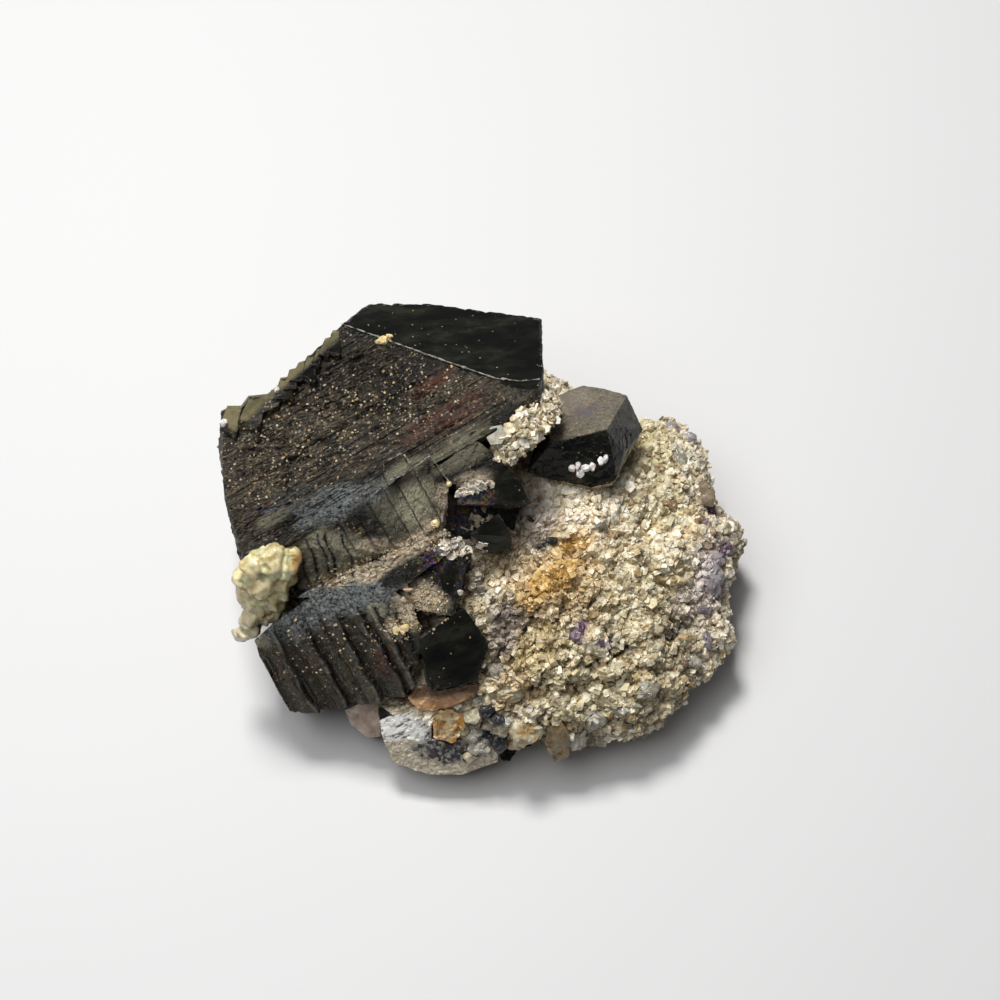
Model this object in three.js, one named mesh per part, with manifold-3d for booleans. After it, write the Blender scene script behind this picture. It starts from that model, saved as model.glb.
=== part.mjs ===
// Arsenopyrite specimen: dark stepped metallic crystals grown on a lumpy mass of mica.
// Millimetres, +Z up, the specimen rests on the flat underside of the mica mass.
// The front of the specimen faces -Y. Its look was worked out from one raised front view, so most
// corners are given as they are seen from there: across, down, and how near they stand to the eye.

import * as THREE from 'three';
import { ConvexGeometry } from 'three/addons/geometries/ConvexGeometry.js';
import { mergeVertices } from 'three/addons/utils/BufferGeometryUtils.js';
import Module from 'manifold-3d';

const wasm = await Module();
wasm.setup();

// The raised view
const VIEW_ELEVATION = THREE.MathUtils.degToRad(66);
const EYE_DISTANCE = 260;
const EYE_PLANE = 22;
const SEEN_SCALE = 0.1163;
const SEEN_CENTRE = 500;
const AIM_X = 2.56;
const AIM_RISE = 4.3;

// Growth direction of the striae on the big crystal, and the fall of its striated face
const STRIA_ANGLE = THREE.MathUtils.degToRad(31);
const STRIATED_FALL = 0.546;

// Gap between neighbouring minerals, and the smallest relief worth a face of its own
const GAP = 0.3;
const FINE = 0.07;
const MICA_FINE = 0.11;

// Height of the lowest crystal above the table
const CRYSTAL_LIFT = 1.2;
const DOWN = new THREE.Vector3(0, 0, -1);

// Mica mass
const MATRIX_WIDEST_HEIGHT = 8.5;
const MATRIX_CROWN = 21.5;
const MATRIX_SIDES = 56;
const MATRIX_RINGS = 19;
const FLAKE_COUNT = 58;

const SINE = Math.sin(VIEW_ELEVATION);
const COSINE = Math.cos(VIEW_ELEVATION);

// A direction or place given across, up the view and towards the eye, as one in the standing frame
function standing(across, rise, near) {
  return new THREE.Vector3(across, rise * SINE - near * COSINE, rise * COSINE + near * SINE);
}

// The place seen at (u, v) in the raised view, standing `near` millimetres towards the eye
function seen(u, v, near) {
  const scale = SEEN_SCALE * (1 - (near - EYE_PLANE) / EYE_DISTANCE);
  return standing(AIM_X + (u - SEEN_CENTRE) * scale, AIM_RISE + (SEEN_CENTRE - v) * scale, near);
}

// The place seen at (u, v) that stands at a height above the table
function seenAtHeight(u, v, height) {
  const reach = SEEN_SCALE * (SEEN_CENTRE - v);
  const flat = AIM_RISE + reach * (1 + EYE_PLANE / EYE_DISTANCE);
  const near = (height - COSINE * flat) / (SINE - (COSINE * reach) / EYE_DISTANCE);
  return seen(u, v, near);
}

function places(list) {
  return list.map(([u, v, near]) => seen(u, v, near));
}

// Repeatable chance numbers between 0 and 1
function chance(seed) {
  let state = seed;
  return () => {
    state = (state + 0x6d2b79f5) | 0;
    let mixed = Math.imul(state ^ (state >>> 15), 1 | state);
    mixed = (mixed + Math.imul(mixed ^ (mixed >>> 7), 61 | mixed)) ^ mixed;
    return ((mixed ^ (mixed >>> 14)) >>> 0) / 4294967296;
  };
}

function solidOf(geometry) {
  const plain = geometry.clone();
  plain.deleteAttribute('normal');
  plain.deleteAttribute('uv');
  const merged = mergeVertices(plain, 1e-4);
  return new wasm.Manifold(new wasm.Mesh({
    numProp: 3,
    vertProperties: new Float32Array(merged.attributes.position.array),
    triVerts: new Uint32Array(merged.index.array),
  }));
}

// A flat-faced crystal round a set of corners
function crystal(corners) {
  return solidOf(new ConvexGeometry(corners));
}

// The same crystal grown outwards by an even amount on every face
function grown(corners, amount) {
  const hull = new ConvexGeometry(corners);
  const box = new THREE.Box3().setFromPoints(corners).expandByScalar(amount + 1);
  const size = box.getSize(new THREE.Vector3());
  const middle = box.getCenter(new THREE.Vector3());
  const block = new THREE.BoxGeometry(size.x, size.y, size.z);
  block.translate(middle.x, middle.y, middle.z);
  let solid = solidOf(block);
  const position = hull.attributes.position;
  const face = new THREE.Triangle();
  for (let i = 0; i < position.count; i += 3) {
    face.setFromAttributeAndIndices(position, i, i + 1, i + 2);
    const normal = face.getNormal(new THREE.Vector3());
    const offset = normal.dot(face.a) + amount;
    if (face.getArea() > 1e-4) solid = solid.trimByPlane([-normal.x, -normal.y, -normal.z], -offset);
  }
  return solid;
}

function trimmed(solid, normal, point) {
  const outward = normal.clone().normalize();
  return solid.trimByPlane([-outward.x, -outward.y, -outward.z], -outward.dot(point));
}

// Corners of a crystal from its seen outline, with a second set set back from the eye
function withDepth(outline, depth, inset) {
  const share = 1 / outline.length;
  const middle = [0, 1].map((axis) => outline.reduce((sum, point) => sum + point[axis] * share, 0));
  const deep = outline.map(([u, v, near]) => [
    u + (middle[0] - u) * inset,
    v + (middle[1] - v) * inset,
    near - depth,
  ]);
  return places([...outline, ...deep]);
}

// A long prism: a closed profile in the (sideways, outward) plane, run along a direction
function ribbed(profile, start, along, sideways, outward, length) {
  const shape = new THREE.Shape(profile.map(([s, o]) => new THREE.Vector2(s, o)));
  const geometry = new THREE.ExtrudeGeometry(shape, { depth: length, bevelEnabled: false, steps: 1 });
  const turn = new THREE.Matrix4().makeBasis(sideways, outward, along);
  turn.setPosition(start);
  geometry.applyMatrix4(turn);
  return solidOf(geometry);
}

// Smooth chance relief in space, between -1 and 1
function corner(i, j, k) {
  let mixed = Math.imul(i, 374761393) ^ Math.imul(j, 668265263) ^ Math.imul(k, 2147483647 - 1640531527);
  mixed = Math.imul(mixed ^ (mixed >>> 13), 1274126177);
  return ((mixed ^ (mixed >>> 16)) >>> 0) / 2147483648 - 1;
}

function relief(point, spacing) {
  const cell = [point.x / spacing, point.y / spacing, point.z / spacing];
  const base = cell.map(Math.floor);
  const part = cell.map((value, axis) => THREE.MathUtils.smoothstep(value - base[axis], 0, 1));
  let total = 0;
  for (let step = 0; step < 8; step += 1) {
    const offset = [step & 1, (step >> 1) & 1, (step >> 2) & 1];
    const weight = offset.reduce((share, on, axis) => share * (on ? part[axis] : 1 - part[axis]), 1);
    total += weight * corner(base[0] + offset[0], base[1] + offset[1], base[2] + offset[2]);
  }
  return total;
}

// Big crystal. Its striated face falls to the upper left, its smooth dark face falls to the back.
const BIG_TIP = [340, 325, 21];
const BIG_MIDDLE = [430, 457, 31];
const BIG_STAIR = [
  [221, 428], [222, 406], [230, 402], [241, 402], [249, 391], [267, 390], [272, 386], [279, 380],
  [282, 373], [289, 372], [295, 364], [303, 360], [309, 352], [313, 349], [318, 343], [326, 338],
  [334, 329], [341, 321],
];
const STAIR_LEVEL = 21;

// Steps on that edge: top left, top right, low left and low right corner of each lit face, then
// the drop from the low corners to the foot below them
const STAIR_STEPS = [
  [[228, 401], [243, 401], [221, 419], [237, 430], 8],
  [[251, 391], [270, 389], [239, 416], [261, 420], 12],
  [[272, 385], [280, 385], [263, 408], [279, 401], 5],
  [[281, 373], [290, 372], [274, 394], [294, 394], 6],
  [[290, 365], [298, 363], [284, 385], [297, 383], 4],
  [[299, 358], [305, 356], [290, 376], [303, 376], 4],
  [[308, 351], [316, 349], [303, 371], [316, 377], 6],
  [[318, 343], [323, 342], [313, 360], [320, 362], 4],
  [[326, 334], [332, 332], [319, 350], [329, 352], 4],
  [[334, 326], [339, 325], [327, 346], [341, 351], 5],
];
const STEP_RISE = 1;
const STEP_DEPTH = 5;

function bigCorners() {
  const top = [
    [318, 306, 23], [209, 405, 23], [225, 500, 28.6], [240, 568, 32.4], [340, 560, 32], [450, 470, 32.6],
  ];
  const right = [[545, 402, 29.5], [540, 380, 30], [540, 285, 20]];
  const back = [[335, 285, 19], [440, 276, 19], [540, 286, 14]];
  const deep = [
    [232, 420, 9], [250, 520, 8], [262, 590, 10], [338, 312, 6], [530, 322, 6], [536, 430, 8], [430, 520, 8],
  ];
  return places([...top, ...right, ...back, ...deep]);
}

// Terraces across the striated face: [distance up the fall, height of the terrace]
function terraceProfile() {
  const random = chance(7);
  const profile = [];
  let across = -9;
  while (across < 23) {
    const tread = 0.55 + 1.3 * random();
    const lift = 0.26 * (random() - 0.5);
    profile.push([across, -STRIATED_FALL * Math.max(across, 0) + lift]);
    profile.push([across + tread, -STRIATED_FALL * Math.max(across + tread, 0) + lift - 0.06]);
    across += tread + 0.05;
  }
  profile.push([across, -40]);
  profile.push([-9, -40]);
  return profile;
}

// The flat faces that bound the big crystal: direction and a place on each
function bigFaces() {
  return [
    [standing(0.01, 0.782, 0.624), seen(...BIG_TIP)],
    [standing(0.985, 0.03, 0.17), seen(541, 380, 29)],
    [standing(-0.94, -0.2, 0.27), seen(228, 500, 27)],
    [standing(0, 0.9, -0.43), seen(440, 298, 17)],
    [standing(0.2, 0.9, -0.36), seen(522, 310, 19)],
    [standing(-0.6, 0.76, -0.2), seen(347, 303, 19)],
    [standing(0.55, -0.8, 0.24), seen(500, 422, 31)],
    [standing(0.47, -0.86, 0.2), seen(238, 566, 31)],
  ];
}

function bigBlock(amount) {
  return bigFaces().reduce((solid, [normal, place]) => {
    const outward = normal.normalize();
    return trimmed(solid, outward, place.addScaledVector(outward, amount));
  }, grown(bigCorners(), amount));
}

// How near the striated face stands to the eye where it is seen
function striatedLevel(u, v) {
  const across = (BIG_MIDDLE[0] - u) * Math.sin(STRIA_ANGLE) + (BIG_MIDDLE[1] - v) * Math.cos(STRIA_ANGLE);
  return BIG_MIDDLE[2] - STRIATED_FALL * SEEN_SCALE * Math.max(across, 0);
}

// One step of the upper-left edge, a block whose lit face stands proud of the striated face
function stairStep([topLeft, topRight, lowLeft, lowRight, drop]) {
  const feet = [lowLeft, lowRight].map(([u, v]) => [u, v + drop]);
  const top = [topLeft, topRight].map(([u, v]) => [u, v, striatedLevel(u, v) - 0.3]);
  const low = [lowLeft, lowRight].map(([u, v]) => [u, v, striatedLevel(u, v) + STEP_RISE]);
  const foot = feet.map(([u, v]) => [u, v, striatedLevel(u, v) - 0.4]);
  const deep = [...top, ...foot].map(([u, v, near]) => [u + 6, v + 8, near - STEP_DEPTH]);
  return crystal(places([...top, ...low, ...foot, ...deep]));
}

function bigCrystal() {
  const along = standing(Math.cos(STRIA_ANGLE), Math.sin(STRIA_ANGLE), 0);
  const sideways = standing(-Math.sin(STRIA_ANGLE), Math.cos(STRIA_ANGLE), 0);
  const outward = standing(0, 0, 1);
  const start = seen(...BIG_MIDDLE).addScaledVector(along, -45);
  const terraces = ribbed(terraceProfile().reverse(), start, along, sideways, outward, 90);
  const block = bigBlock(0).intersect(terraces).intersect(stairBlock()).subtract(facePit());
  return wasm.Manifold.union([block, ...STAIR_STEPS.map(stairStep)]);
}

// The stepped upper-left edge, run down and slightly inwards
function stairBlock() {
  const outline = [...BIG_STAIR, [420, 250], [600, 250], [600, 640], [200, 640]];
  const rings = [[-4, 5], [STAIR_LEVEL, 0], [34, 13]].map(([level, shift]) => (
    outline.map(([u, v]) => seen(u + shift * 1.6, v + shift * 2.2, level))
  ));
  return stacked(rings);
}

// A solid skin over rings of equal count, lowest ring first, closed at both ends
function stacked(rings) {
  const plan = rings[0].map((point) => new THREE.Vector2(point.x, point.y));
  const clockwise = THREE.ShapeUtils.isClockWise(plan);
  const rows = clockwise ? rings.map((ring) => [...ring].reverse()) : rings;
  const contour = clockwise ? plan.reverse() : plan;
  const count = contour.length;
  const top = (rows.length - 1) * count;
  const index = [];
  THREE.ShapeUtils.triangulateShape(contour, []).forEach(([a, b, c]) => {
    index.push(a, c, b);
    index.push(top + a, top + b, top + c);
  });
  for (let row = 0; row + 1 < rows.length; row += 1) {
    for (let i = 0; i < count; i += 1) {
      const a = row * count + i;
      const b = row * count + ((i + 1) % count);
      index.push(a, b, b + count);
      index.push(a, b + count, a + count);
    }
  }
  const geometry = new THREE.BufferGeometry();
  const positions = rows.flat().flatMap((point) => [point.x, point.y, point.z]);
  geometry.setAttribute('position', new THREE.Float32BufferAttribute(positions, 3));
  geometry.setIndex(index);
  return solidOf(geometry);
}

// The shallow broken hollow high on the striated face
function facePit() {
  return crystal(places([
    [346, 370, 31], [392, 356, 31], [412, 374, 31], [404, 394, 32], [374, 410, 32], [350, 404, 32],
    [357, 378, 24.1], [371, 371, 24.3], [393, 370, 25], [401, 378, 25.6], [396, 389, 26.2], [376, 398, 26],
    [359, 396, 25.2],
  ]));
}

const MIDDLE_TOP = [
  [283, 524, 30.4], [372, 496, 32], [430, 455, 32.2], [449, 481, 31.4], [442, 522, 29],
  [402, 546, 28.6], [341, 541, 30.6], [291, 544, 29.6],
];
const MIDDLE_FOOT = [[300, 586, 25], [356, 584, 25.4], [402, 562, 26], [446, 536, 26]];
const MIDDLE_DEPTH = 16;

function middleCorners() {
  const rim = [...MIDDLE_TOP.slice(0, 4), ...MIDDLE_FOOT];
  const deep = rim.map(([u, v, near]) => [u, v, near - MIDDLE_DEPTH]);
  return places([...MIDDLE_TOP, ...MIDDLE_FOOT, ...deep]);
}

const LOWER_TOP = [
  [255, 635, 23.5], [278, 622, 26], [300, 599, 28], [332, 581, 29], [391, 583, 29], [414, 600, 28.6],
  [422, 636, 28],
];
const LOWER_FOOT = [
  [257, 652, 23.2], [289, 709, 18], [308, 708, 18], [346, 703, 20], [378, 695, 22], [404, 692, 23],
  [412, 688, 23.4],
];
const LOWER_DEPTH = 11;
const LOWER_MIDDLE = [350, 620];

function lowerCorners() {
  const deep = [...LOWER_TOP, ...LOWER_FOOT].map(([u, v, near]) => [
    THREE.MathUtils.lerp(u, LOWER_MIDDLE[0], 0.12),
    THREE.MathUtils.lerp(v, LOWER_MIDDLE[1], 0.22),
    near - LOWER_DEPTH,
  ]);
  return places([...LOWER_TOP, ...LOWER_FOOT, ...deep]);
}

// A stepped front face: slabs that run down and to the right, each sinking by tilt across its width
function groovedBlock(near, face, fall, pitch, drop, tilt, seed, count) {
  const along = standing(0.44, -0.8, -fall[0]).normalize();
  const sideways = standing(0.876, 0.48, fall[1]).normalize();
  const squareSideways = sideways.clone().addScaledVector(along, -sideways.dot(along)).normalize();
  const outward = along.clone().cross(squareSideways).normalize();
  const random = chance(seed);
  const profile = [];
  let across = -pitch * count * 0.5;
  const from = across;
  for (let i = 0; i < count; i += 1) {
    const tread = pitch * (0.55 + 0.9 * random());
    const lift = drop * (random() - 0.5);
    profile.push([across, lift]);
    profile.push([across + tread, lift - tilt]);
    across += tread + 0.03;
  }
  profile.push([across, -30]);
  profile.push([from, -30]);
  const start = seen(...face).addScaledVector(along, -30).addScaledVector(outward, near);
  return ribbed(profile.reverse(), start, along, squareSideways, outward, 60);
}

const BLACK_FACE = [
  [449, 613, 28], [464, 602, 27.8], [489, 638, 25.6], [477, 677, 24.7], [431, 686, 26.2], [419, 636, 28.4],
];
const NEEDLE_ONE = [
  [456, 476, 30.6], [499, 454, 30], [521, 478, 29], [531, 499, 28], [509, 504, 27.6], [490, 491, 29],
  [458, 500, 29.4],
];
const NEEDLE_TWO = [
  [470, 529, 28.4], [499, 509, 28.8], [511, 532, 28], [512, 545, 26.6], [489, 549, 26.4], [472, 536, 27.2],
];
// Grain-covered seam between the middle crystal and the lower-left one
const SEAM_FILL = [
  [297, 592, 28], [332, 575, 29], [372, 561, 29.3], [410, 545, 29.3], [446, 524, 29], [454, 545, 28.4],
  [412, 576, 28.9], [392, 590, 28.9], [335, 594, 28.7],
];
const SHELF = [[434, 464, 30.8], [478, 436, 30.8], [491, 447, 30.2], [497, 456, 29.8], [454, 480, 30.4]];
const MIDDLE_STEP = [[382, 463, 32.6], [403, 453, 32.6], [410, 463, 32.7], [389, 481, 32.8]];
const STEP_ONE = [[379, 584, 28.6], [386, 573, 30.2], [407, 572, 30], [409, 586, 28.8]];
const STEP_TWO = [[440, 566, 28.6], [449, 556, 29.6], [463, 572, 28.8], [462, 592, 27.6], [444, 591, 27.8]];

// A solid cut off clear of the table, so that only the mica mass rests on it
function lifted(solid) {
  return trimmed(solid, DOWN, new THREE.Vector3(0, 0, CRYSTAL_LIFT));
}

// The hidden mass that the crystals of the cluster grow from
const CLUSTER_ROOT = [
  [300, 545, 23], [430, 475, 25], [505, 470, 24.4], [522, 500, 23], [505, 545, 22.4], [475, 640, 21],
  [400, 675, 19.6], [300, 640, 19.6],
];

function clusterParts() {
  return {
    root: withDepth(CLUSTER_ROOT, 9, 0.2),
    middle: middleCorners(),
    lower: lowerCorners(),
    black: withDepth(BLACK_FACE, 10, 0.12),
    link: places([
      [402, 548, 27], [446, 524, 28], [470, 545, 26.5], [455, 612, 27.6], [400, 600, 27.6],
      [402, 548, 15], [446, 524, 15], [480, 560, 15], [455, 620, 15], [380, 600, 15],
    ]),
    needleOne: withDepth(NEEDLE_ONE, 9, 0.1),
    needleTwo: withDepth(NEEDLE_TWO, 8, 0.1),
    seamFill: withDepth(SEAM_FILL, 8, 0.1),
    shelf: withDepth(SHELF, 7, 0.05),
    middleStep: withDepth(MIDDLE_STEP, 3, 0),
    stepOne: withDepth(STEP_ONE, 7, 0),
    stepTwo: withDepth(STEP_TWO, 7, 0),
  };
}

function arsenopyriteCluster() {
  const parts = clusterParts();
  const middleBlock = groovedBlock(0, [345, 562, 29.4], [0.41, 0], 1.7, 0.8, 0.28, 33, 20);
  const lowerBlock = groovedBlock(0.15, [350, 645, 25.8], [0.51, 0.59], 2.7, 0.7, 0.95, 21, 16);
  const middle = crystal(parts.middle).intersect(middleBlock);
  const lower = crystal(parts.lower).intersect(lowerBlock);
  const names = [
    'root', 'black', 'link', 'needleOne', 'needleTwo', 'seamFill', 'shelf', 'middleStep', 'stepOne', 'stepTwo',
  ];
  const smaller = names.map((name) => crystal(parts[name]));
  const whole = wasm.Manifold.union([bigCrystal(), middle, lower, ...smaller]);
  return lifted(whole);
}

const UPPER_RIGHT = [
  [551, 439, 25.2], [607, 425, 25.6], [545, 402, 19.4], [558, 391, 17.6], [582, 381, 16.4], [604, 384, 17],
  [627, 391, 18.6], [643, 425, 18.6], [629, 438, 20.4], [624, 449, 22.2], [615, 459, 23], [616, 474, 21.8],
  [592, 485, 21.2], [565, 479, 21.6], [528, 467, 22.6],
];

const UPPER_RIGHT_ROOT = [[560, 468, 10], [600, 400, 8], [618, 450, 9]];

const LOWER_FRONT = [
  [380, 716, 19.4], [389, 711, 20.2], [416, 706, 20.8], [434, 716, 20.6], [478, 722, 20.2], [499, 735, 19.4],
  [498, 757, 18], [461, 770, 17.2], [427, 769, 17], [393, 757, 17.4], [383, 733, 19],
];

const LOWER_FRONT_DEPTH = 8;

// The matrix outline from the right, front and left, as seen, with the height of its widest part
const MATRIX_OUTLINE = [
  [640, 412, 12], [672, 420, 11], [684, 448, 10], [696, 476, 9], [714, 494, 9], [728, 522, 9],
  [735, 540, 9], [727, 575, 9], [723, 606, 9], [722, 632, 9], [711, 661, 8.5], [688, 677, 8],
  [659, 701, 8], [633, 729, 7], [584, 746, 6], [548, 745, 6], [505, 744, 5], [430, 728, 5],
  [350, 690, 5], [300, 650, 6], [266, 600, 8], [262, 530, 8], [270, 470, 8], [320, 420, 8],
  [420, 390, 8], [540, 385, 9],
];
const MATRIX_CENTRE = [520, 580, 9];

function matrixOutline() {
  return MATRIX_OUTLINE.map(([u, v, height]) => seenAtHeight(u, v, height));
}

// Distance from the centre to the outline in a direction
function outlineReach(outline, centre, angle) {
  const direction = new THREE.Vector2(Math.cos(angle), Math.sin(angle));
  let reach = 0;
  outline.forEach((point, i) => {
    const next = outline[(i + 1) % outline.length];
    const from = new THREE.Vector2(point.x - centre.x, point.y - centre.y);
    const edge = new THREE.Vector2(next.x - point.x, next.y - point.y);
    const across = direction.cross(edge);
    if (Math.abs(across) < 1e-9) return;
    const distance = from.cross(edge) / across;
    const share = from.cross(direction) / across;
    if (distance > 0 && share >= 0 && share <= 1) reach = Math.max(reach, distance);
  });
  return reach;
}

// Height of the matrix crown over the plan
function crownHeight(x, y) {
  const left = THREE.MathUtils.smoothstep(-x, 2, 24);
  const front = THREE.MathUtils.smoothstep(-y, 6, 30);
  const right = THREE.MathUtils.smoothstep(x, 8, 30);
  return MATRIX_CROWN - 6 * left - 5 * front - 4 * right;
}

function matrixPoint(outline, centre, angle, rise) {
  const reach = outlineReach(outline, centre, angle);
  const spread = Math.pow(Math.max(Math.cos(rise), 0), 0.72);
  const x = centre.x + reach * spread * Math.cos(angle);
  const y = centre.y + reach * spread * Math.sin(angle);
  const crown = crownHeight(x, y) - MATRIX_WIDEST_HEIGHT;
  const height = rise > 0
    ? MATRIX_WIDEST_HEIGHT + crown * Math.pow(Math.sin(rise), 0.9)
    : MATRIX_WIDEST_HEIGHT * (1 + 1.25 * Math.sin(rise));
  const point = new THREE.Vector3(x, y, height);
  const push = 1.3 * relief(point, 6.5) + 1.15 * relief(point, 3.3);
  const outward = new THREE.Vector3(
    Math.cos(angle) * Math.cos(rise), Math.sin(angle) * Math.cos(rise), Math.sin(rise),
  );
  return point.addScaledVector(outward, push);
}

function matrixBody() {
  const outline = matrixOutline();
  const centre = seenAtHeight(...MATRIX_CENTRE);
  const lowest = -1.15;
  const rings = [];
  for (let ring = 0; ring < MATRIX_RINGS; ring += 1) {
    const rise = THREE.MathUtils.lerp(lowest, Math.PI / 2 - 0.06, ring / (MATRIX_RINGS - 1));
    const row = [];
    for (let side = 0; side < MATRIX_SIDES; side += 1) {
      row.push(matrixPoint(outline, centre, (side / MATRIX_SIDES) * Math.PI * 2, rise));
    }
    rings.push(row);
  }
  return stacked(rings);
}

// One thin six-sided book of mica
function micaBook(place, width, thickness, normal, spin) {
  const geometry = new THREE.CylinderGeometry(width / 2, width / 2, thickness, 6, 1);
  geometry.rotateY(spin);
  const turn = new THREE.Quaternion().setFromUnitVectors(new THREE.Vector3(0, 1, 0), normal);
  geometry.applyQuaternion(turn);
  geometry.translate(place.x, place.y, place.z);
  return solidOf(geometry);
}

function micaBooks() {
  const outline = matrixOutline();
  const centre = seenAtHeight(...MATRIX_CENTRE);
  const random = chance(41);
  const books = [];
  while (books.length < FLAKE_COUNT) {
    const angle = -2.3 + 3.7 * random();
    const rise = Math.asin(0.99 - 1.15 * Math.pow(random(), 1.7));
    const place = matrixPoint(outline, centre, angle, rise);
    const lean = new THREE.Vector3(random() - 0.5, random() - 0.5, random() - 0.5).multiplyScalar(1.5);
    const normal = new THREE.Vector3(
      Math.cos(angle) * Math.cos(rise), Math.sin(angle) * Math.cos(rise), Math.sin(rise),
    ).add(lean).normalize();
    books.push(micaBook(place, 1.8 + 1.9 * random(), 0.7 + 0.5 * random(), normal, random() * 3));
  }
  return books;
}

// Streak of mica between the big crystal and the upper-right one
const STREAK = [
  [488, 444, 30.4], [505, 420, 30.8], [549, 400, 28.6], [554, 414, 26], [540, 440, 25], [520, 468, 25.4],
  [498, 456, 28.6],
];

const SEAMS = [
  [[588, 668, 26], [642, 640, 26], [640, 650, 26], [590, 676, 26], [600, 668, 9], [634, 648, 9]],
  [[498, 694, 26], [545, 682, 26], [545, 690, 26], [500, 703, 26], [508, 697, 10], [536, 690, 10]],
  [[556, 610, 30], [600, 596, 30], [602, 603, 30], [558, 618, 30], [566, 612, 16], [592, 602, 16]],
  [[640, 560, 30], [676, 590, 30], [670, 594, 30], [636, 566, 30], [646, 570, 12], [664, 586, 12]],
];

function micaMatrix(others) {
  let solid = wasm.Manifold.union([matrixBody(), crystal(withDepth(STREAK, 12, 0)), ...micaBooks()]);
  SEAMS.forEach((corners) => {
    solid = solid.subtract(crystal(places(corners)));
  });
  others.forEach((socket) => {
    solid = solid.subtract(socket);
  });
  solid = trimmed(solid, DOWN, new THREE.Vector3(0, 0, 0));
  return largest(solid.simplify(MICA_FINE));
}

// The main piece of a solid, without any crumb that a cut left loose
function largest(solid) {
  return solid.decompose().reduce((best, piece) => (piece.volume() > best.volume() ? piece : best));
}

const CRUST_LUMPS = [
  [250, 562, 28, 20], [272, 553, 28.6, 24], [289, 560, 27.4, 18], [260, 580, 27.4, 24], [281, 577, 26.6, 20],
  [249, 592, 26, 16], [268, 600, 25.6, 19], [254, 611, 24.4, 18], [249, 627, 22.6, 13],
];

function lump([u, v, near, width]) {
  const geometry = new THREE.IcosahedronGeometry((width * SEEN_SCALE) / 2, 1);
  geometry.scale(1, 1, 1.25);
  const place = seen(u, v, near - (width * SEEN_SCALE) / 2);
  geometry.translate(place.x, place.y, place.z);
  return solidOf(geometry);
}

const CRUST_ROOT = [
  [246, 565, 26], [292, 550, 26.4], [284, 585, 24.4], [248, 625, 21.4], [262, 560, 12], [292, 570, 12],
  [268, 620, 12],
];

function crustSolid() {
  return wasm.Manifold.union([crystal(places(CRUST_ROOT)), ...CRUST_LUMPS.map(lump)]).simplify(FINE);
}

// A plain hollow that clears every lump of the crust
function crustSocket() {
  const middles = CRUST_LUMPS.map(([u, v, near, width]) => seen(u, v, near - (width * SEEN_SCALE) / 2));
  return grown([...places(CRUST_ROOT), ...middles], 1.2 + GAP);
}

const TAN_PRISM = [[346, 705, 18], [378, 692, 18.6], [381, 731, 17], [369, 733, 16.6], [352, 720, 17]];
const PEACH_PLATE = [
  [404, 688, 22.8], [436, 677, 23.6], [478, 674, 24], [483, 683, 23.4], [466, 695, 22.6], [446, 704, 22.2],
  [420, 706, 22],
];
const STAINED = [
  [434, 712, 22], [448, 704, 22.4], [463, 710, 22], [465, 726, 21.2], [452, 738, 20.4], [434, 732, 20.8],
];
const QUARTZ = [
  [548, 722, 21.4], [562, 717, 21.8], [571, 732, 21], [569, 752, 18.6], [555, 756, 18], [545, 741, 19.8],
];
const TAN_GRAIN = [[699, 480, 16], [706, 475, 16], [716, 492, 15], [713, 502, 13.6], [702, 500, 15]];
const PINK_GRAIN = [[721, 528, 13], [729, 522, 12.6], [737, 538, 11], [733, 551, 10.4], [723, 550, 12.4]];
const CLEAR_BOOK = [
  [486, 431, 31.4], [491, 422, 31.6], [502, 420, 31.6], [507, 429, 31.4], [502, 439, 31.2], [491, 440, 31.2],
];

// Small grains and plates: name, corners, colour, depth, inset, roughness
const SMALL_PIECES = {
  tan_prism: { corners: withDepth(TAN_PRISM, 4.5, 0), colour: 0xb49c88, roughness: 0.55 },
  peach_plate: { corners: withDepth(PEACH_PLATE, 2.6, 0.1), colour: 0xc9996b, roughness: 0.6 },
  orange_stained_crystal: { corners: withDepth(STAINED, 4, 0.1), colour: 0xc79a4a, roughness: 0.45 },
  brown_quartz_grain: { corners: withDepth(QUARTZ, 3.4, 0.15), colour: 0x8a6f45, roughness: 0.35 },
  tan_edge_grain: { corners: withDepth(TAN_GRAIN, 2.4, 0.2), colour: 0xb49a7c, roughness: 0.45 },
  pink_edge_grain: { corners: withDepth(PINK_GRAIN, 2.4, 0.2), colour: 0xc7a596, roughness: 0.45 },
  mica_book: { corners: withDepth(CLEAR_BOOK, 2.4, 0), colour: 0xc8c2b0, roughness: 0.3 },
};

const ARSENOPYRITE = { colour: 0x35322d, roughness: 0.42, metalness: 0.85 };
const SILVERY = { colour: 0x8d8b85, roughness: 0.38, metalness: 0.85 };
const MICA = { colour: 0xcfc5ac, roughness: 0.7, metalness: 0 };
const CRUST = { colour: 0xbdb684, roughness: 0.5, metalness: 0 };

function meshOf(name, solid, look) {
  const data = solid.getMesh();
  const geometry = new THREE.BufferGeometry();
  geometry.setAttribute('position', new THREE.BufferAttribute(new Float32Array(data.vertProperties), 3));
  geometry.setIndex(new THREE.BufferAttribute(new Uint32Array(data.triVerts), 1));
  const material = new THREE.MeshStandardMaterial({
    color: look.colour, roughness: look.roughness, metalness: look.metalness ?? 0, flatShading: true,
  });
  const mesh = new THREE.Mesh(geometry, material);
  mesh.name = name;
  return mesh;
}

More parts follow.
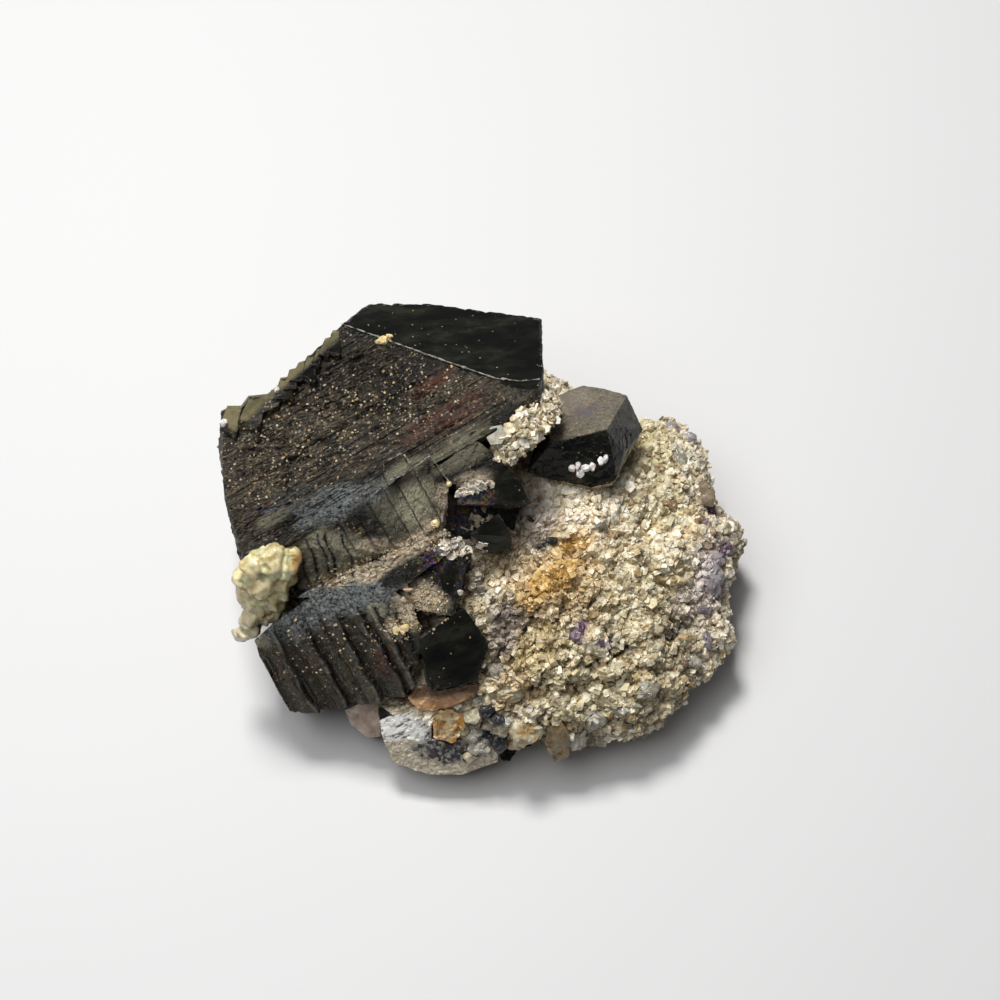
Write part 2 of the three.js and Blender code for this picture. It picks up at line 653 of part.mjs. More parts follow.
function micaAndGrains(clusterSocket) {
  const small = Object.entries(SMALL_PIECES);
  const smallSockets = wasm.Manifold.union(small.map(([, piece]) => grown(piece.corners, GAP)));
  const front = withDepth(LOWER_FRONT, LOWER_FRONT_DEPTH, 0.1);
  const lowerFront = lifted(crystal(front)).subtract(clusterSocket).subtract(smallSockets);
  const upperRight = crystal(places([...UPPER_RIGHT, ...UPPER_RIGHT_ROOT])).subtract(clusterSocket);
  const upperRightSocket = grown(places([...UPPER_RIGHT, ...UPPER_RIGHT_ROOT]), GAP);
  const sockets = [clusterSocket, upperRightSocket, crustSocket(), grown(front, GAP), smallSockets];
  return [
    meshOf('mica_matrix', micaMatrix(sockets), MICA),
    meshOf('upper_right_arsenopyrite', largest(upperRight), ARSENOPYRITE),
    meshOf('lower_arsenopyrite', largest(lowerFront), SILVERY),
    meshOf('yellow_crust', largest(crustSolid().subtract(clusterSocket)), CRUST),
    ...small.map(([name, piece]) => meshOf(name, smallPiece(piece, clusterSocket), piece)),
  ];
}

function smallPiece(piece, clusterSocket) {
  return largest(lifted(crystal(piece.corners)).subtract(clusterSocket));
}

function clusterSocketSolid() {
  const hulls = Object.values(clusterParts()).map((corners) => grown(corners, GAP));
  return wasm.Manifold.union([bigBlock(GAP), ...hulls]);
}

function specimen() {
  const group = new THREE.Group();
  group.name = 'arsenopyrite_specimen';
  group.add(meshOf('arsenopyrite_cluster', arsenopyriteCluster(), ARSENOPYRITE));
  micaAndGrains(clusterSocketSolid()).forEach((mesh) => group.add(mesh));
  return centred(group);
}

// The origin is moved to the middle of the specimen in plan, on the table
function centred(group) {
  const box = new THREE.Box3().setFromObject(group);
  const middle = box.getCenter(new THREE.Vector3());
  group.children.forEach((mesh) => {
    mesh.geometry.translate(-middle.x, -middle.y, -box.min.z);
  });
  return group;
}

export default specimen();
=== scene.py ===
"""Arsenopyrite specimen on mica: the finished look of every mineral, its floor, light and camera."""

import math

import bpy
import numpy as np
from mathutils import Matrix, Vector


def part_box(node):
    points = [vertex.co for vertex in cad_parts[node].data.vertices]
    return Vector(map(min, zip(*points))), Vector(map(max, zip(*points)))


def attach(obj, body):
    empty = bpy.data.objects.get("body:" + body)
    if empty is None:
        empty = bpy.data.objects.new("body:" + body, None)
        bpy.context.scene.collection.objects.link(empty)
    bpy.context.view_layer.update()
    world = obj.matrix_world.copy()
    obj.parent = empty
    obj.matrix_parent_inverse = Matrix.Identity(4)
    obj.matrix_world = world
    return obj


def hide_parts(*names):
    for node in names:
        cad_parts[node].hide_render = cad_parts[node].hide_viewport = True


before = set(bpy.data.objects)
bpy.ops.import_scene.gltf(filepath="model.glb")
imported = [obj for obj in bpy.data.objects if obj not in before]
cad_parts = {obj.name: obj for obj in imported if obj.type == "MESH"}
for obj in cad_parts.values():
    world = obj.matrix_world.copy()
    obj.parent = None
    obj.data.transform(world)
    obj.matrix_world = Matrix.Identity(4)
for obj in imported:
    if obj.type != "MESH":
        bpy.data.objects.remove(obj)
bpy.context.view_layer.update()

MM = 0.001
MM_PER_METRE = 1000.0

# The raised view that the photo was taken from
ELEVATION = math.radians(66)
EYE_DISTANCE = 260.0
EYE_PLANE = 22.0
SEEN_SCALE = 0.1163
SEEN_CENTRE = 500.0
AIM_X = 2.56
AIM_RISE = 4.3
PHOTO_WIDTH = 1000.0

# Lattice of the big crystal: the run of its striae, seen from the eye
STRIA_DEGREES = 31
STRIA_ANGLE = math.radians(STRIA_DEGREES)
BIG_MIDDLE = (430, 457, 31)

SINE, COSINE = math.sin(ELEVATION), math.cos(ELEVATION)


# Places in the raised view

def standing(across, rise, near):
    """Standing frame from the eye's frame: (x, v sin e - w cos e, v cos e + w sin e)."""
    parts = np.broadcast_arrays(across, rise * SINE - near * COSINE, rise * COSINE + near * SINE)
    return np.stack(parts, axis=-1)


def seen(u, v, near):
    """The place seen at (u, v) and `near` towards the eye, before the specimen is centred."""
    u, v, near = np.broadcast_arrays(np.asarray(u, float), np.asarray(v, float), np.asarray(near, float))
    scale = SEEN_SCALE * (1 - (near - EYE_PLANE) / EYE_DISTANCE)
    return standing(AIM_X + (u - SEEN_CENTRE) * scale, AIM_RISE + (SEEN_CENTRE - v) * scale, near)


PINK_GRAIN = [(721, 528, 13), (729, 522, 12.6), (737, 538, 11), (733, 551, 10.4), (723, 550, 12.4)]


def centring():
    """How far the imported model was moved: box of the pink grain against the places of its corners."""
    _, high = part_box("pink_edge_grain")
    corners = np.array([seen(*corner) for corner in PINK_GRAIN])
    return np.array([high[axis] / MM - corners[:, axis].max() for axis in range(3)])


SHIFT = centring()


def eye_frame(points):
    """(across, rise, near) of standing places."""
    p = points - SHIFT
    return p[:, 0], p[:, 1] * SINE + p[:, 2] * COSINE, -p[:, 1] * COSINE + p[:, 2] * SINE


def eye_direction(vectors):
    """The same directions as (across, rise, near)."""
    x, y, z = vectors[:, 0], vectors[:, 1], vectors[:, 2]
    return np.stack([x, y * SINE + z * COSINE, -y * COSINE + z * SINE], axis=1)


def seen_at(points):
    """(u, v) at which standing places are seen."""
    across, rise, near = eye_frame(points)
    scale = SEEN_SCALE * (1 - (near - EYE_PLANE) / EYE_DISTANCE)
    return SEEN_CENTRE + (across - AIM_X) / scale, SEEN_CENTRE - (rise - AIM_RISE) / scale


# Chance relief

def chance_at(i, j, k, salt=0):
    """A repeatable value between -1 and 1 for every lattice place."""
    mask = 0xFFFFFFFF
    m = ((i * 374761393) ^ (j * 668265263) ^ ((k + salt * 7919) * 506952120)) & mask
    m = ((m ^ (m >> 13)) * 1274126177) & mask
    return ((m ^ (m >> 16)) & mask) / 2147483648.0 - 1.0


def relief(points, spacing, salt=0):
    """Smooth chance relief: cubic blend of the eight lattice values round each place."""
    cell = points / spacing
    base = np.floor(cell).astype(np.int64)
    part = cell - base
    part = part * part * (3 - 2 * part)
    total = np.zeros(len(points))
    for step in range(8):
        on = np.array([step & 1, (step >> 1) & 1, (step >> 2) & 1])
        weight = np.prod(np.where(on, part, 1 - part), axis=1)
        place = base + on
        total += weight * chance_at(place[:, 0], place[:, 1], place[:, 2], salt)
    return total


def facets(points, spacing, step, tilt, salt=0):
    """Broken facets: each place takes step * h + tilt * (offset . n) of its nearest seed.

    The height h and the lean n of each seed come by chance."""
    cell = points / spacing
    base = np.floor(cell).astype(np.int64)
    best = np.full(len(points), 9.0)
    owner = base.copy()
    offset = np.zeros_like(cell)
    for number in range(27):
        place = base + np.array([number % 3 - 1, number // 3 % 3 - 1, number // 9 - 1])
        seed = place + 0.5
        for axis in range(3):
            seed[:, axis] += 0.45 * chance_at(place[:, 0], place[:, 1], place[:, 2], salt + 11 + axis)
        away = cell - seed
        distance = (away ** 2).sum(axis=1)
        closer = distance < best
        best = np.where(closer, distance, best)
        owner[closer] = place[closer]
        offset[closer] = away[closer]
    lean = np.stack([chance_at(*owner.T, salt + 21 + axis) for axis in range(3)], axis=1)
    height = chance_at(*owner.T, salt + 31)
    return step * height + tilt * (offset * lean).sum(axis=1)


def layered(points, layers):
    """The sum of several sizes of facets, each given as spacing, step, tilt and salt."""
    return sum(facets(points, *layer) for layer in layers)


def soft_patch(u, v, middle, radii, turn=0.0):
    """1 inside an oval seen at middle, falling smoothly to 0 at its rim."""
    c, s = math.cos(math.radians(turn)), math.sin(math.radians(turn))
    du, dv = u - middle[0], v - middle[1]
    across = (du * c + dv * s) / radii[0]
    along = (-du * s + dv * c) / radii[1]
    return np.clip(1.35 - (across ** 2 + along ** 2), 0, 1)


def soft_step(x, low, high):
    """0 below low, 1 above high, and t t (3 - 2 t) between them."""
    t = np.clip((x - low) / (high - low), 0, 1)
    return t * t * (3 - 2 * t)


# Meshes

def make_piece(name, points, faces, material, values=None, smooth=False):
    """A mesh in the row frame from places in millimetres and faces, with its named point values."""
    mesh = bpy.data.meshes.new(name)
    mesh.from_pydata((points * MM).tolist(), [], faces.tolist())
    for key, value in (values or {}).items():
        layer = mesh.attributes.new(key, "FLOAT", "POINT")
        layer.data.foreach_set("value", np.ascontiguousarray(value, dtype=np.float32))
    mesh.polygons.foreach_set("use_smooth", np.full(len(mesh.polygons), smooth))
    mesh.materials.append(material)
    mesh.update()
    piece = bpy.data.objects.new(name, mesh)
    bpy.context.scene.collection.objects.link(piece)
    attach(piece, "root")
    return piece


def node_shape(node):
    """Joined corners in millimetres and triangles of a CAD node at rest."""
    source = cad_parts[node]
    mesh = source.data
    flat = np.empty(len(mesh.vertices) * 3)
    mesh.vertices.foreach_get("co", flat)
    turn = np.array(source.matrix_world)
    places = (flat.reshape(-1, 3) @ turn[:3, :3].T + turn[:3, 3]) / MM
    mesh.calc_loop_triangles()
    index = np.empty(len(mesh.loop_triangles) * 3, dtype=np.int32)
    mesh.loop_triangles.foreach_get("vertices", index)
    _, first, same = np.unique(np.round(places, 3), axis=0, return_index=True, return_inverse=True)
    triangles = same.reshape(-1)[index].reshape(-1, 3)
    whole = (triangles[:, 0] != triangles[:, 1]) & (triangles[:, 1] != triangles[:, 2])
    whole &= triangles[:, 0] != triangles[:, 2]
    return places[first], triangles[whole]


# A triangle lower than THIN_HEIGHT may keep edges that are longer by up to THIN_EXTRA
THIN_HEIGHT = 0.12
THIN_EXTRA = 1.0
# Edges of at least this share of their triangle's longest one are halved in the same round
LONG_SIDE = 0.8
MOST_ROUNDS = 40


def finer(points, triangles, longest, hidden=None):
    """The long edges of each triangle are halved until each is within its limit.

    The limit is `longest`, or `hidden` on faces turned from the eye, and more on very thin triangles.
    Where no `hidden` is given, it is `longest` everywhere."""
    for _ in range(MOST_ROUNDS):
        count = len(points)
        edges = np.stack([triangles, np.roll(triangles, -1, axis=1)], axis=2)
        edges = np.sort(edges.reshape(-1, 2), axis=1)
        keys, back = np.unique(edges[:, 0].astype(np.int64) * count + edges[:, 1], return_inverse=True)
        back = back.reshape(-1, 3)
        a, b = keys // count, keys % count
        length = np.linalg.norm(points[a] - points[b], axis=1)
        sides = length[back]
        limit = np.full(len(keys), np.inf)
        np.minimum.at(limit, back, edge_limit(points, triangles, sides, longest, hidden)[:, None])
        split = np.zeros(len(keys), bool)
        split[back[sides >= LONG_SIDE * sides.max(axis=1, keepdims=True)]] = True
        split &= length > limit
        if not split.any():
            break
        middle = np.full(len(keys), -1)
        middle[split] = count + np.arange(split.sum())
        points = np.vstack([points, (points[a[split]] + points[b[split]]) / 2])
        triangles = halved(triangles, middle[back])
    return points, triangles


def edge_limit(points, triangles, sides, longest, hidden):
    """The longest edge that each triangle may keep."""
    if hidden is None:
        return np.full(len(triangles), longest)
    a, b, c = (points[triangles[:, i]] for i in range(3))
    cross = np.cross(b - a, c - a)
    size = np.linalg.norm(cross, axis=1)
    height = size / sides.max(axis=1)
    seen_face = cross @ standing(0.0, 0.0, 1.0) > 0.05 * size
    return np.where(seen_face, longest, hidden) + THIN_EXTRA * np.clip(1 - height / THIN_HEIGHT, 0, 1)


def halved(triangles, halves):
    """The new triangles once the marked edges (middle >= 0) are halved."""
    code = (halves[:, 0] >= 0) + 2 * (halves[:, 1] >= 0) + 4 * (halves[:, 2] >= 0)
    parts = [triangles[code == 0]]
    for value, turn in ((1, 0), (2, 1), (4, 2)):
        t, m = np.roll(triangles[code == value], -turn, 1), np.roll(halves[code == value], -turn, 1)
        parts += [np.c_[t[:, 0], m[:, 0], t[:, 2]], np.c_[m[:, 0], t[:, 1], t[:, 2]]]
    for value, turn in ((3, 0), (6, 1), (5, 2)):
        t, m = np.roll(triangles[code == value], -turn, 1), np.roll(halves[code == value], -turn, 1)
        parts += [np.c_[m[:, 0], t[:, 1], m[:, 1]], np.c_[t[:, 0], m[:, 0], t[:, 2]]]
        parts += [np.c_[m[:, 0], m[:, 1], t[:, 2]]]
    t, m = triangles[code == 7], halves[code == 7]
    parts += [np.c_[t[:, 0], m[:, 0], m[:, 2]], np.c_[m[:, 0], t[:, 1], m[:, 1]]]
    parts += [np.c_[m[:, 1], t[:, 2], m[:, 2]], m]
    return np.vstack(parts)


def outward(points, triangles):
    """Area-weighted normals at the corners."""
    a, b, c = (points[triangles[:, i]] for i in range(3))
    cross = np.cross(b - a, c - a)
    total = np.zeros_like(points)
    for i in range(3):
        np.add.at(total, triangles[:, i], cross)
    return total / np.maximum(np.linalg.norm(total, axis=1, keepdims=True), 1e-12)


# Materials

class Look:
    """One material's node tree, filled in step by step."""

    def __init__(self, name):
        self.material = bpy.data.materials.new(name)
        self.material.use_nodes = True
        self.tree = self.material.node_tree
        self.shader = self.tree.nodes["Principled BSDF"]
        self.place = self.tree.nodes.new("ShaderNodeTexCoord").outputs["Object"]

    def set(self, **values):
        """Constant values of the shader's own sockets, their spaces written as underscores."""
        for key, value in values.items():
            self.shader.inputs[key.replace("_", " ")].default_value = value

    def link(self, source, socket):
        self.tree.links.new(source, self.shader.inputs[socket])

    def node(self, kind, inputs=None, **settings):
        """A node with its settings, its inputs linked where they are sockets."""
        made = self.tree.nodes.new(kind)
        for key, value in settings.items():
            setattr(made, key, value)
        for key, value in (inputs or {}).items():
            if isinstance(value, bpy.types.NodeSocket):
                self.tree.links.new(value, made.inputs[key])
            else:
                made.inputs[key].default_value = value
        return made

    def turned(self, degrees, stretch):
        """Places turned so that X runs along a growth direction in the raised view, then stretched."""
        raised = (ELEVATION - math.pi / 2, 0, 0)
        swung = (0, 0, -math.radians(degrees))
        lean = self.node("ShaderNodeMapping", {"Vector": self.place, "Rotation": raised})
        turn = self.node("ShaderNodeMapping", {"Vector": lean.outputs[0], "Rotation": swung})
        return self.node("ShaderNodeMapping", {"Vector": turn.outputs[0], "Scale": stretch}).outputs[0]

    def noise(self, size_mm, detail=3.0, rough=0.5, place=None):
        made = self.node("ShaderNodeTexNoise", {
            "Vector": place or self.place, "Scale": MM_PER_METRE / size_mm,
            "Detail": detail, "Roughness": rough,
        })
        return made.outputs["Fac"]

    def stirred(self, size_mm, amount_mm):
        """The object's own place pushed about by noise, so that cells lose their even shapes."""
        noise = self.node("ShaderNodeTexNoise", {
            "Vector": self.place, "Scale": MM_PER_METRE / size_mm, "Detail": 2.0,
        })
        push = self.vector_math("SUBTRACT", {0: noise.outputs["Color"], 1: (0.5, 0.5, 0.5)})
        push = self.vector_math("SCALE", {0: push, "Scale": amount_mm * MM})
        return self.vector_math("ADD", {0: self.place, 1: push})

    def vector_math(self, operation, inputs):
        return self.node("ShaderNodeVectorMath", inputs, operation=operation).outputs[0]

    def cells(self, size_mm, output="Distance", place=None):
        made = self.node("ShaderNodeTexVoronoi", {
            "Vector": place or self.place, "Scale": MM_PER_METRE / size_mm,
        })
        return made.outputs[output]

    def band(self, value, low, high):
        """0 below low and 1 above high."""
        made = self.node("ShaderNodeMapRange", {"Value": value, "From Min": low, "From Max": high})
        return made.outputs["Result"]

    def ramp(self, value, stops):
        made = self.node("ShaderNodeValToRGB", {"Fac": value})
        ends = made.color_ramp.elements
        while len(ends) < len(stops):
            ends.new(0.5)
        for end, (position, colour) in zip(ends, stops):
            end.position = position
            end.color = (*colour, 1)
        return made.outputs["Color"]

    def blend(self, share, first, second):
        """First where the share is 0, second where it is 1."""
        made = self.tree.nodes.new("ShaderNodeMix")
        made.data_type = "RGBA"
        for socket, value in ((made.inputs[0], share), (made.inputs[6], first), (made.inputs[7], second)):
            if isinstance(value, bpy.types.NodeSocket):
                self.tree.links.new(value, socket)
            elif isinstance(value, tuple):
                socket.default_value = (*value, 1)
            else:
                socket.default_value = value
        return made.outputs[2]

    def times(self, first, second):
        return self.node("ShaderNodeMath", {0: first, 1: second}, operation="MULTIPLY").outputs[0]

    def plus(self, first, second):
        return self.node("ShaderNodeMath", {0: first, 1: second}, operation="ADD").outputs[0]

    def less(self, first, second):
        return self.node("ShaderNodeMath", {0: first, 1: second}, operation="SUBTRACT").outputs[0]

    def value(self, name):
        """A value kept at the mesh's points under this name."""
        return self.node("ShaderNodeAttribute", attribute_name=name).outputs["Fac"]

    def specks(self, size_mm, share, colours, place=None):
        """Small cells: which of them show, and a chance colour for each."""
        cell = self.cells(size_mm, "Color", place)
        parts = self.node("ShaderNodeSeparateColor", {"Color": cell}).outputs
        shown = self.band(parts[0], 1 - share, 1 - share * 0.8)
        stops = [((number + 0.5) / len(colours), colour) for number, colour in enumerate(colours)]
        return shown, self.ramp(parts[1], stops)

    def ledges(self, degrees, pitch_mm):
        """Uneven strips across a direction: a chance tone for each strip and the distance to its edges."""
        across = self.node("ShaderNodeSeparateXYZ", {0: self.turned(degrees, (1, 1, 1))}).outputs[0]
        run = self.plus(self.times(across, MM_PER_METRE / pitch_mm), self.times(self.noise(5.0, 3.0), 0.9))
        strips = {"voronoi_dimensions": "1D"}
        tone = self.node("ShaderNodeTexVoronoi", {"W": run, "Scale": 1.0}, **strips)
        tone = self.node("ShaderNodeSeparateColor", {"Color": tone.outputs["Color"]}).outputs[0]
        strips["feature"] = "DISTANCE_TO_EDGE"
        edge = self.node("ShaderNodeTexVoronoi", {"W": run, "Scale": 1.0}, **strips)
        return tone, edge.outputs["Distance"]

    def bump(self, height, depth_mm, strength=1.0, under=None):
        """Fine relief of this depth, on top of the relief under it."""
        made = self.node("ShaderNodeBump", {
            "Height": height, "Distance": depth_mm * MM, "Strength": strength,
        })
        if under is not None:
            self.tree.links.new(under, made.inputs["Normal"])
        return made.outputs["Normal"]


BLACK = (0.0045, 0.0045, 0.0045)
DARK_BROWN = (0.018, 0.0145, 0.0095)
GREY_BROWN = (0.1, 0.08, 0.052)
PAINTED_GLINT_BROWN = (0.34, 0.28, 0.19)
OLIVE = (0.3, 0.285, 0.195)
BLUE_GREY = (0.2, 0.22, 0.22)
BEIGE = (0.56, 0.46, 0.33)
RUST = (0.085, 0.02, 0.011)
PAINTED_STAIR_REFLECTION = (0.15, 0.13, 0.065)
PAINTED_GLINT_GOLD = (0.42, 0.31, 0.12)
PAINTED_SLAB_GREY = (0.085, 0.075, 0.053)
LEDGE_GREY = (0.06, 0.052, 0.036)
LEDGE_PAINTED_HIGHLIGHT = (0.14, 0.125, 0.095)
LEDGE_PAINTED_SHADE = (0.003, 0.003, 0.003)
PAINTED_GAP_SHADE = (0.002, 0.002, 0.002)
PAINTED_CREST_HIGHLIGHT = (0.17, 0.155, 0.12)
STONE_GREY = (0.085, 0.075, 0.075)
SPECK_COLOURS = [
    (0.3, 0.22, 0.12), (0.16, 0.16, 0.15), (0.06, 0.1, 0.15), (0.02, 0.02, 0.02), (0.26, 0.1, 0.04),
    (0.17, 0.18, 0.1), (0.34, 0.3, 0.22), (0.01, 0.01, 0.01),
]


def arsenopyrite_look():
    """Dark tarnished metal: striae, ledges, grain, coloured specks and patches of tarnish.

    Its smooth faces are black and calm. Where each kind of surface lies comes from the mesh's own values."""
    look = Look("arsenopyrite_tarnished")
    look.set(Metallic=0.15, IOR=1.5, Specular_IOR_Level=0.34)
    smooth = look.value("smooth")
    rough = look.less(1.0, smooth)
    along_striae = look.turned(STRIA_DEGREES, (0.1, 1.0, 1.0))
    streak = look.noise(0.34, 4.0, 0.7, along_striae)
    grain = look.noise(0.34, 5.0, 0.75)
    cloud = look.noise(3.6, 4.0, 0.6)
    patchy = look.band(look.noise(1.1, 4.0, 0.7, look.turned(STRIA_DEGREES, (0.5, 1, 1))), 0.34, 0.58)
    colour = look.blend(look.band(grain, 0.4, 0.6), BLACK, DARK_BROWN)
    brown = look.times(look.value("brown"), patchy)
    colour = look.blend(look.times(brown, look.band(streak, 0.36, 0.6)), colour, GREY_BROWN)
    # Painted glints: pale brown on the brightest grains of the brown patches
    colour = look.blend(look.times(brown, look.band(grain, 0.53, 0.66)), colour, PAINTED_GLINT_BROWN)
    tone, edge = look.ledges(29, 0.8)
    stepped = look.value("ledges")
    # Painted shading of the slabs: each slab lighter or darker by its share of this grey
    colour = look.blend(look.times(look.value("painted_slab_shading"), look.band(grain, 0.1, 0.5)), colour, PAINTED_SLAB_GREY)
    colour = look.blend(look.times(stepped, look.times(tone, 0.3)), colour, LEDGE_GREY)
    colour = look.blend(look.times(look.value("blue"), look.band(grain, 0.38, 0.58)), colour, BLUE_GREY)
    colour = look.blend(look.times(look.value("olive"), look.band(grain, 0.2, 0.46)), colour, OLIVE)
    colour = look.blend(look.times(look.value("rust"), look.band(streak, 0.42, 0.58)), colour, RUST)
    colour = look.blend(look.times(look.value("beige"), look.band(grain, 0.28, 0.52)), colour, BEIGE)
    # Painted reflection: the olive-brass tone stands in for the bright table reflected in the stair faces
    colour = look.blend(look.times(look.value("painted_stair_reflection"), look.band(cloud, 0.2, 0.6)), colour, PAINTED_STAIR_REFLECTION)
    plain = look.times(rough, look.less(1.0, look.times(look.value("painted_stair_reflection"), 0.9)))
    shown, hue = look.specks(0.14, 0.16, SPECK_COLOURS, look.turned(STRIA_DEGREES, (0.4, 1, 1)))
    clustered = look.band(look.noise(1.3, 3.0, 0.6), 0.46, 0.62)
    colour = look.blend(look.times(look.times(shown, plain), look.times(clustered, 0.8)), colour, hue)
    # Sparse bright gold and pale specks: painted glints of tiny facets
    shown, hue = look.specks(0.2, 0.012, [PAINTED_GLINT_GOLD, (0.42, 0.38, 0.3), (0.34, 0.16, 0.05), (0.36, 0.34, 0.33)])
    colour = look.blend(look.times(look.times(shown, plain), 0.7), colour, hue)
    # Painted light on the ledges: a painted highlight on a thin band just inside each ledge edge, and painted
    # shade (the dark band) on the edge itself
    painted_highlight_band = look.times(look.band(edge, 0.16, 0.1), look.band(edge, 0.04, 0.07))
    dark = look.band(edge, 0.07, 0.04)
    colour = look.blend(look.times(stepped, look.times(painted_highlight_band, 0.35)), colour, LEDGE_PAINTED_HIGHLIGHT)
    colour = look.blend(look.times(stepped, look.times(dark, 0.5)), colour, LEDGE_PAINTED_SHADE)
    # Painted shade in the gaps between slabs and in the grooves, and a painted highlight along the crests
    # beside them
    colour = look.blend(look.value("painted_gap_shade"), colour, PAINTED_GAP_SHADE)
    colour = look.blend(look.value("painted_crest_highlight"), colour, PAINTED_CREST_HIGHLIGHT)
    clouds = look.noise(2.6, 5.0, 0.65, look.turned(12, (0.45, 1, 1)))
    still = look.ramp(clouds, [
        (0.42, (0.003, 0.0032, 0.0028)), (0.56, (0.009, 0.0098, 0.007)), (0.64, (0.02, 0.0205, 0.014)),
        (0.72, (0.006, 0.0065, 0.005)), (0.82, (0.04, 0.04, 0.027)),
    ])
    # Rare bright specks on the smooth faces: painted glints
    shown, hue = look.specks(0.16, 0.003, [PAINTED_GLINT_GOLD, (0.25, 0.24, 0.2)])
    still = look.blend(look.times(shown, 0.8), still, hue)
    colour = look.blend(smooth, colour, still)
    tarnish = look.ramp(look.noise(0.9, 3.0), [
        (0.3, (0.04, 0.14, 0.16)), (0.42, (0.02, 0.06, 0.2)), (0.5, (0.12, 0.04, 0.14)),
        (0.58, (0.34, 0.16, 0.03)), (0.68, (0.07, 0.2, 0.06)),
    ])
    shine = look.times(look.value("tarnish"), look.band(grain, 0.44, 0.6))
    colour = look.blend(shine, colour, tarnish)
    look.link(colour, "Base Color")
    dull = look.node("ShaderNodeMix", {0: smooth, 2: look.band(grain, 0.15, 1.1), 3: 0.2})
    look.link(dull.outputs[0], "Roughness")
    height = look.times(look.plus(look.times(streak, 0.5), grain), plain)
    fine = look.bump(height, 0.26, 0.95, look.bump(look.times(stepped, tone), 0.16, 0.7))
    look.link(look.bump(look.times(look.noise(0.15, 3.0, 0.7), plain), 0.07, 0.8, fine), "Normal")
    return look.material


def silvery_look():
    """Metal with grooves that rise to the right, beige and blue-black where it turns down. Its near-white
    stripes are silver with a painted reflection, its near-black stripes painted shade in the grooves.
    """
    look = Look("arsenopyrite_silvery")
    look.set(Metallic=0.2, Roughness=0.3)
    line = look.noise(0.3, 4.0, 0.65, look.turned(34, (0.06, 1.0, 1.0)))
    grain = look.noise(0.4, 4.0, 0.7)
    # Painted light: the near-white stripes are silver brightened to stand in for its reflection, the
    # near-black stripes painted shade in the grooves
    bright = look.ramp(line, [
        (0.34, (0.06, 0.06, 0.06)), (0.42, (0.42, 0.41, 0.38)),
        (0.5, (0.8, 0.79, 0.74)), (0.7, (0.95, 0.94, 0.89)),
    ])
    low = look.ramp(grain, [(0.3, (0.17, 0.14, 0.1)), (0.5, (0.46, 0.4, 0.3)), (0.7, (0.74, 0.68, 0.55))])
    colour = look.blend(look.value("cream"), bright, low)
    shown, hue = look.specks(0.45, 0.7, [
        (0.012, 0.014, 0.02), (0.03, 0.045, 0.07), (0.015, 0.012, 0.012), (0.1, 0.14, 0.16),
        (0.3, 0.28, 0.22), (0.02, 0.025, 0.04), (0.06, 0.03, 0.04),
    ])
    broken = look.plus(shown, look.band(grain, 0.45, 0.55))
    colour = look.blend(look.times(look.value("dark"), broken), colour, hue)
    look.link(colour, "Base Color")
    look.link(look.bump(line, 0.3, 0.7, look.bump(grain, 0.14, 0.6)), "Normal")
    return look.material


# Stains of the mica: name, how strong, and their colours from hollow to crest, the hollow end darker as
# painted shade
MICA_STAINS = [
    ("ochre", 1.0, [(0.05, (0.1, 0.042, 0.008)), (0.5, (0.42, 0.22, 0.045)), (1.0, (0.66, 0.46, 0.18))]),
    ("yellow", 0.6, [(0.0, (0.16, 0.12, 0.04)), (0.8, (0.6, 0.52, 0.26))]),
    ("lilac", 0.6, [(0.0, (0.1, 0.08, 0.09)), (0.9, (0.44, 0.38, 0.4))]),
]
MICA_PURPLE = (0.11, 0.055, 0.12)


def mica_look(name, shine):
    """Cream mica: each flake its own tint, with painted shade that turns the hollows grey and dark, and
    stained and lilac patches.
    """
    look = Look(name)
    look.set(Roughness=shine, IOR=1.58, Subsurface_Weight=0.1, Subsurface_Scale=0.0008)
    look.shader.inputs["Subsurface Radius"].default_value = (1.0, 0.8, 0.55)
    grain = look.noise(0.36, 4.0, 0.7)
    tint_and_painted_shade = look.plus(look.times(look.value("tint_and_painted_shade"), 0.72), look.times(look.band(grain, 0.25, 0.75), 0.3))
    colour = look.ramp(tint_and_painted_shade, [
        (0.06, (0.055, 0.043, 0.026)), (0.24, (0.22, 0.175, 0.11)), (0.42, (0.46, 0.385, 0.245)),
        (0.62, (0.7, 0.61, 0.43)), (0.86, (0.9, 0.84, 0.71)),
    ])
    cool = look.times(look.band(look.noise(2.4, 3.0, 0.6), 0.48, 0.62), 0.4)
    grey = look.ramp(tint_and_painted_shade, [(0.1, (0.06, 0.06, 0.06)), (0.85, (0.52, 0.52, 0.5))])
    colour = look.blend(cool, colour, grey)
    rich = look.band(tint_and_painted_shade, 0.05, 0.75)
    for stain, share, stops in MICA_STAINS:
        colour = look.blend(look.times(look.value(stain), share), colour, look.ramp(rich, stops))
    colour = look.blend(look.times(look.value("purple"), 0.85), colour, MICA_PURPLE)
    colour = look.blend(look.times(look.value("grey"), look.band(grain, 0.3, 0.6)), colour, STONE_GREY)
    look.link(colour, "Base Color")
    lumps = look.cells(0.95, place=look.stirred(0.5, 0.35))
    under = look.bump(look.less(1.0, lumps), 0.5, 0.8)
    look.link(look.bump(grain, 0.16, 0.6, under), "Normal")
    return look.material


GRAIN_PATCHES = [
    ("rusty", 0.8, (0.42, 0.2, 0.04)), ("chalk", 0.6, (0.6, 0.52, 0.36)),
    ("umber", 0.9, (0.075, 0.035, 0.012)),
]


